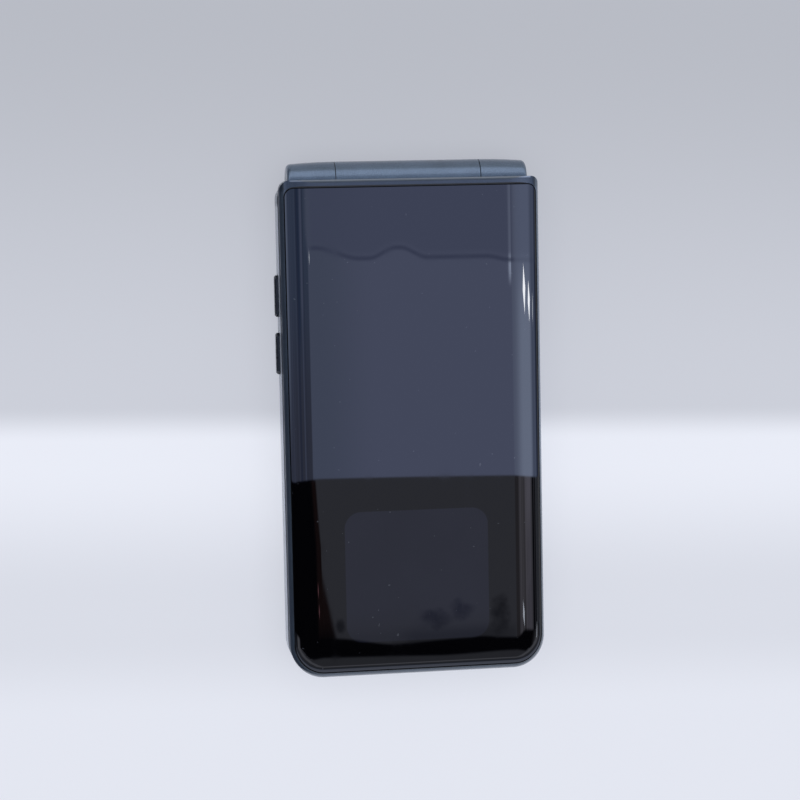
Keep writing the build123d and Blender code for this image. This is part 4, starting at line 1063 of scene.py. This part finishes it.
arrow_radius = 9.3
ok_ring_radius = 1.5 * MM
ok_ring_width = 0.35 * MM
ring_outer = (ring_high.x - ring_low.x) / 2 / MM
give(["nav_ring"], turned_metal("ring_metal", 0.22, (92, 102, 116), (120, 130, 144),
                                ring_outer - 1.0, ring_outer + 1))
give(["ok_key"], turned_metal("centre_key_metal", 0.18, (70, 79, 92), (94, 104, 118), 5.2, 7.0))
for name, angle in (("up", 0), ("left", 90), ("down", 180), ("right", 270)):
    arrow = plate("print_" + name + "_arrow", 3, 1.5, 1.1)
    turn = math.radians(angle)
    arrow.data.transform(Matrix.Rotation(turn, 4, "Z"))
    on_key(arrow, "nav_ring", white_ink, (-arrow_radius * math.sin(turn), arrow_radius * math.cos(turn)))
bpy.ops.mesh.primitive_circle_add(vertices=40, radius=ok_ring_radius, fill_type="NGON")
ok_ring = just_added("print_ok_ring")
edit("SELECT")
bpy.ops.mesh.inset(thickness=ok_ring_width)
bpy.ops.mesh.delete(type="FACE")
leave_edit(outward=False)
thicken(print_thickness)
on_key(ok_ring, "ok_key", white_ink)


# ------ back cover
# Snap-on back cover in satin paint with a fine texture that fingers can grip, and faint scuffs where
# the phone lies on tables. The camera and flash windows are let into it.

back_material, start, point = begin("back_cover_paint")
grip = noise(point, 1800, 2.0, 0.5)
cloud = noise(point, 60, 3.0)
drift = point.node("ShaderNodeTexNoise", None, {"Vector": point, "Scale": 30}, output="Color")
drawn_out = place(start, turn=(0, 0, 0.8), stretch=(1, 0.12, 1))
bowed = point.node("ShaderNodeMix", {"data_type": "VECTOR"}, {0: 0.02, 4: drawn_out, 5: drift}, output=1)
scuff = step(noise(bowed, 700, 3.0), 0.68, 0.78)
band_colour, side_band = silver_side_and_reflection(point)
colour = blend(step(cloud * 0.25 + grip * 0.75, 0.34, 0.66), rgb(68, 81, 98), rgb(80, 94, 112))
colour = blend(scuff * 0.12 + rubbed_edge(point) * 0.4, colour, rgb(138, 148, 160))
# The side wall takes the sides' paler silver, partly a painted reflection of the pale surroundings.
wall = step(along(point, "Z"), 0.55 * MM, 0.95 * MM) * side_band
colour = blend(wall, colour, band_colour)
surface(start, Base_Color=colour, Metallic=0.45 + wall * 0.3,
        Roughness=step(grip, 0.25, 0.75, 0.38, 0.5) + scuff * 0.06, Normal=bump(grip, 0.008 * MM))
give(["battery_cover"], back_material)

low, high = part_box("camera_window")
camera_centre = (low + high) / 2
give(["camera_window"], lens_face("camera_window_glass", camera_centre, 2.3 * MM, 1.2 * MM, (40, 34, 66)))

trim_outer = 4.42 * MM
trim_inner = 3.75 * MM
trim_low = 0.03 * MM
trim_high = low.z + 0.01 * MM
trim_middle = (camera_centre.x, camera_centre.y, (trim_high + trim_low) / 2)
bpy.ops.mesh.primitive_cylinder_add(vertices=96, radius=trim_outer, depth=trim_high - trim_low,
                                    location=trim_middle)
trim = just_added("camera_trim")
bpy.ops.object.transform_apply()
select_faces(trim, lambda face: abs(face.normal.z) > 0.9)
bpy.ops.mesh.inset(thickness=trim_outer - trim_inner, use_individual=True)
bpy.ops.mesh.delete(type="FACE")
bpy.ops.mesh.select_mode(type="EDGE")
bpy.ops.mesh.select_non_manifold()
bpy.ops.mesh.bridge_edge_loops()
leave_edit()
rounding = trim.modifiers.new("rounding", "BEVEL")
rounding.width = 0.025 * MM
rounding.segments = 3
rounding.angle_limit = math.radians(40)
bpy.ops.object.modifier_apply(modifier="rounding")
bpy.ops.object.shade_smooth_by_angle(angle=math.radians(40))
trim_metal, start = new_material("camera_trim_metal")
turned = waves(from_axis(place(start, (camera_centre.x, camera_centre.y, 0))), 0.12) * 0.5 + 0.5
surface(start, Base_Color=blend(turned, rgb(150, 155, 162), rgb(182, 186, 192)), Metallic=1.0,
        Roughness=step(turned, 0.2, 0.8, 0.22, 0.34), Normal=bump(turned, 0.004 * MM))
dress(trim, trim_metal)
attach(trim, "base")

flash_low, flash_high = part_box("flash_window")
flash_material, start = new_material("flash_lens")
radius = from_axis(place(start, ((flash_low.x + flash_high.x) / 2, (flash_low.y + flash_high.y) / 2, 0)))
fresnel = waves(radius, 0.3) * 0.5 + 0.5
clear = blend(fresnel, rgb(214, 208, 184), rgb(232, 228, 208))
glint = fall(radius, 0.3 * MM, 1.2 * MM)
surface(start, Base_Color=blend(glint, clear, rgb(236, 214, 120)),
        Roughness=0.1 + fresnel * 0.1, Normal=bump(fresnel, 0.05 * MM))
give(["flash_window"], flash_material)


# ------ battery
# The removable battery: a flat pack in grey film with black plastic end caps, and film that is drawn
# tight with faint wrinkles at its corners.

low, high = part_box("battery")
battery_material, start, point = begin("battery_wrap", (low + high) / 2)
cap_from = (high.y - low.y) / 2 - 2.6 * MM
end_cap = step(abs(along(point, "Y")), cap_from, cap_from + 0.1 * MM)
wrinkle = noise(place(start, stretch=(1, 0.2, 1)), 420, 3.0)
colour = blend(step(wrinkle, 0.3, 0.7), rgb(176, 178, 182), rgb(196, 198, 202))
surface(start, Base_Color=blend(end_cap, colour, rgb(28, 28, 30)),
        Roughness=0.34 + wrinkle * 0.14 + end_cap * 0.1, Normal=bump(wrinkle, 0.02 * MM))
give(["battery"], battery_material)


low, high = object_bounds()
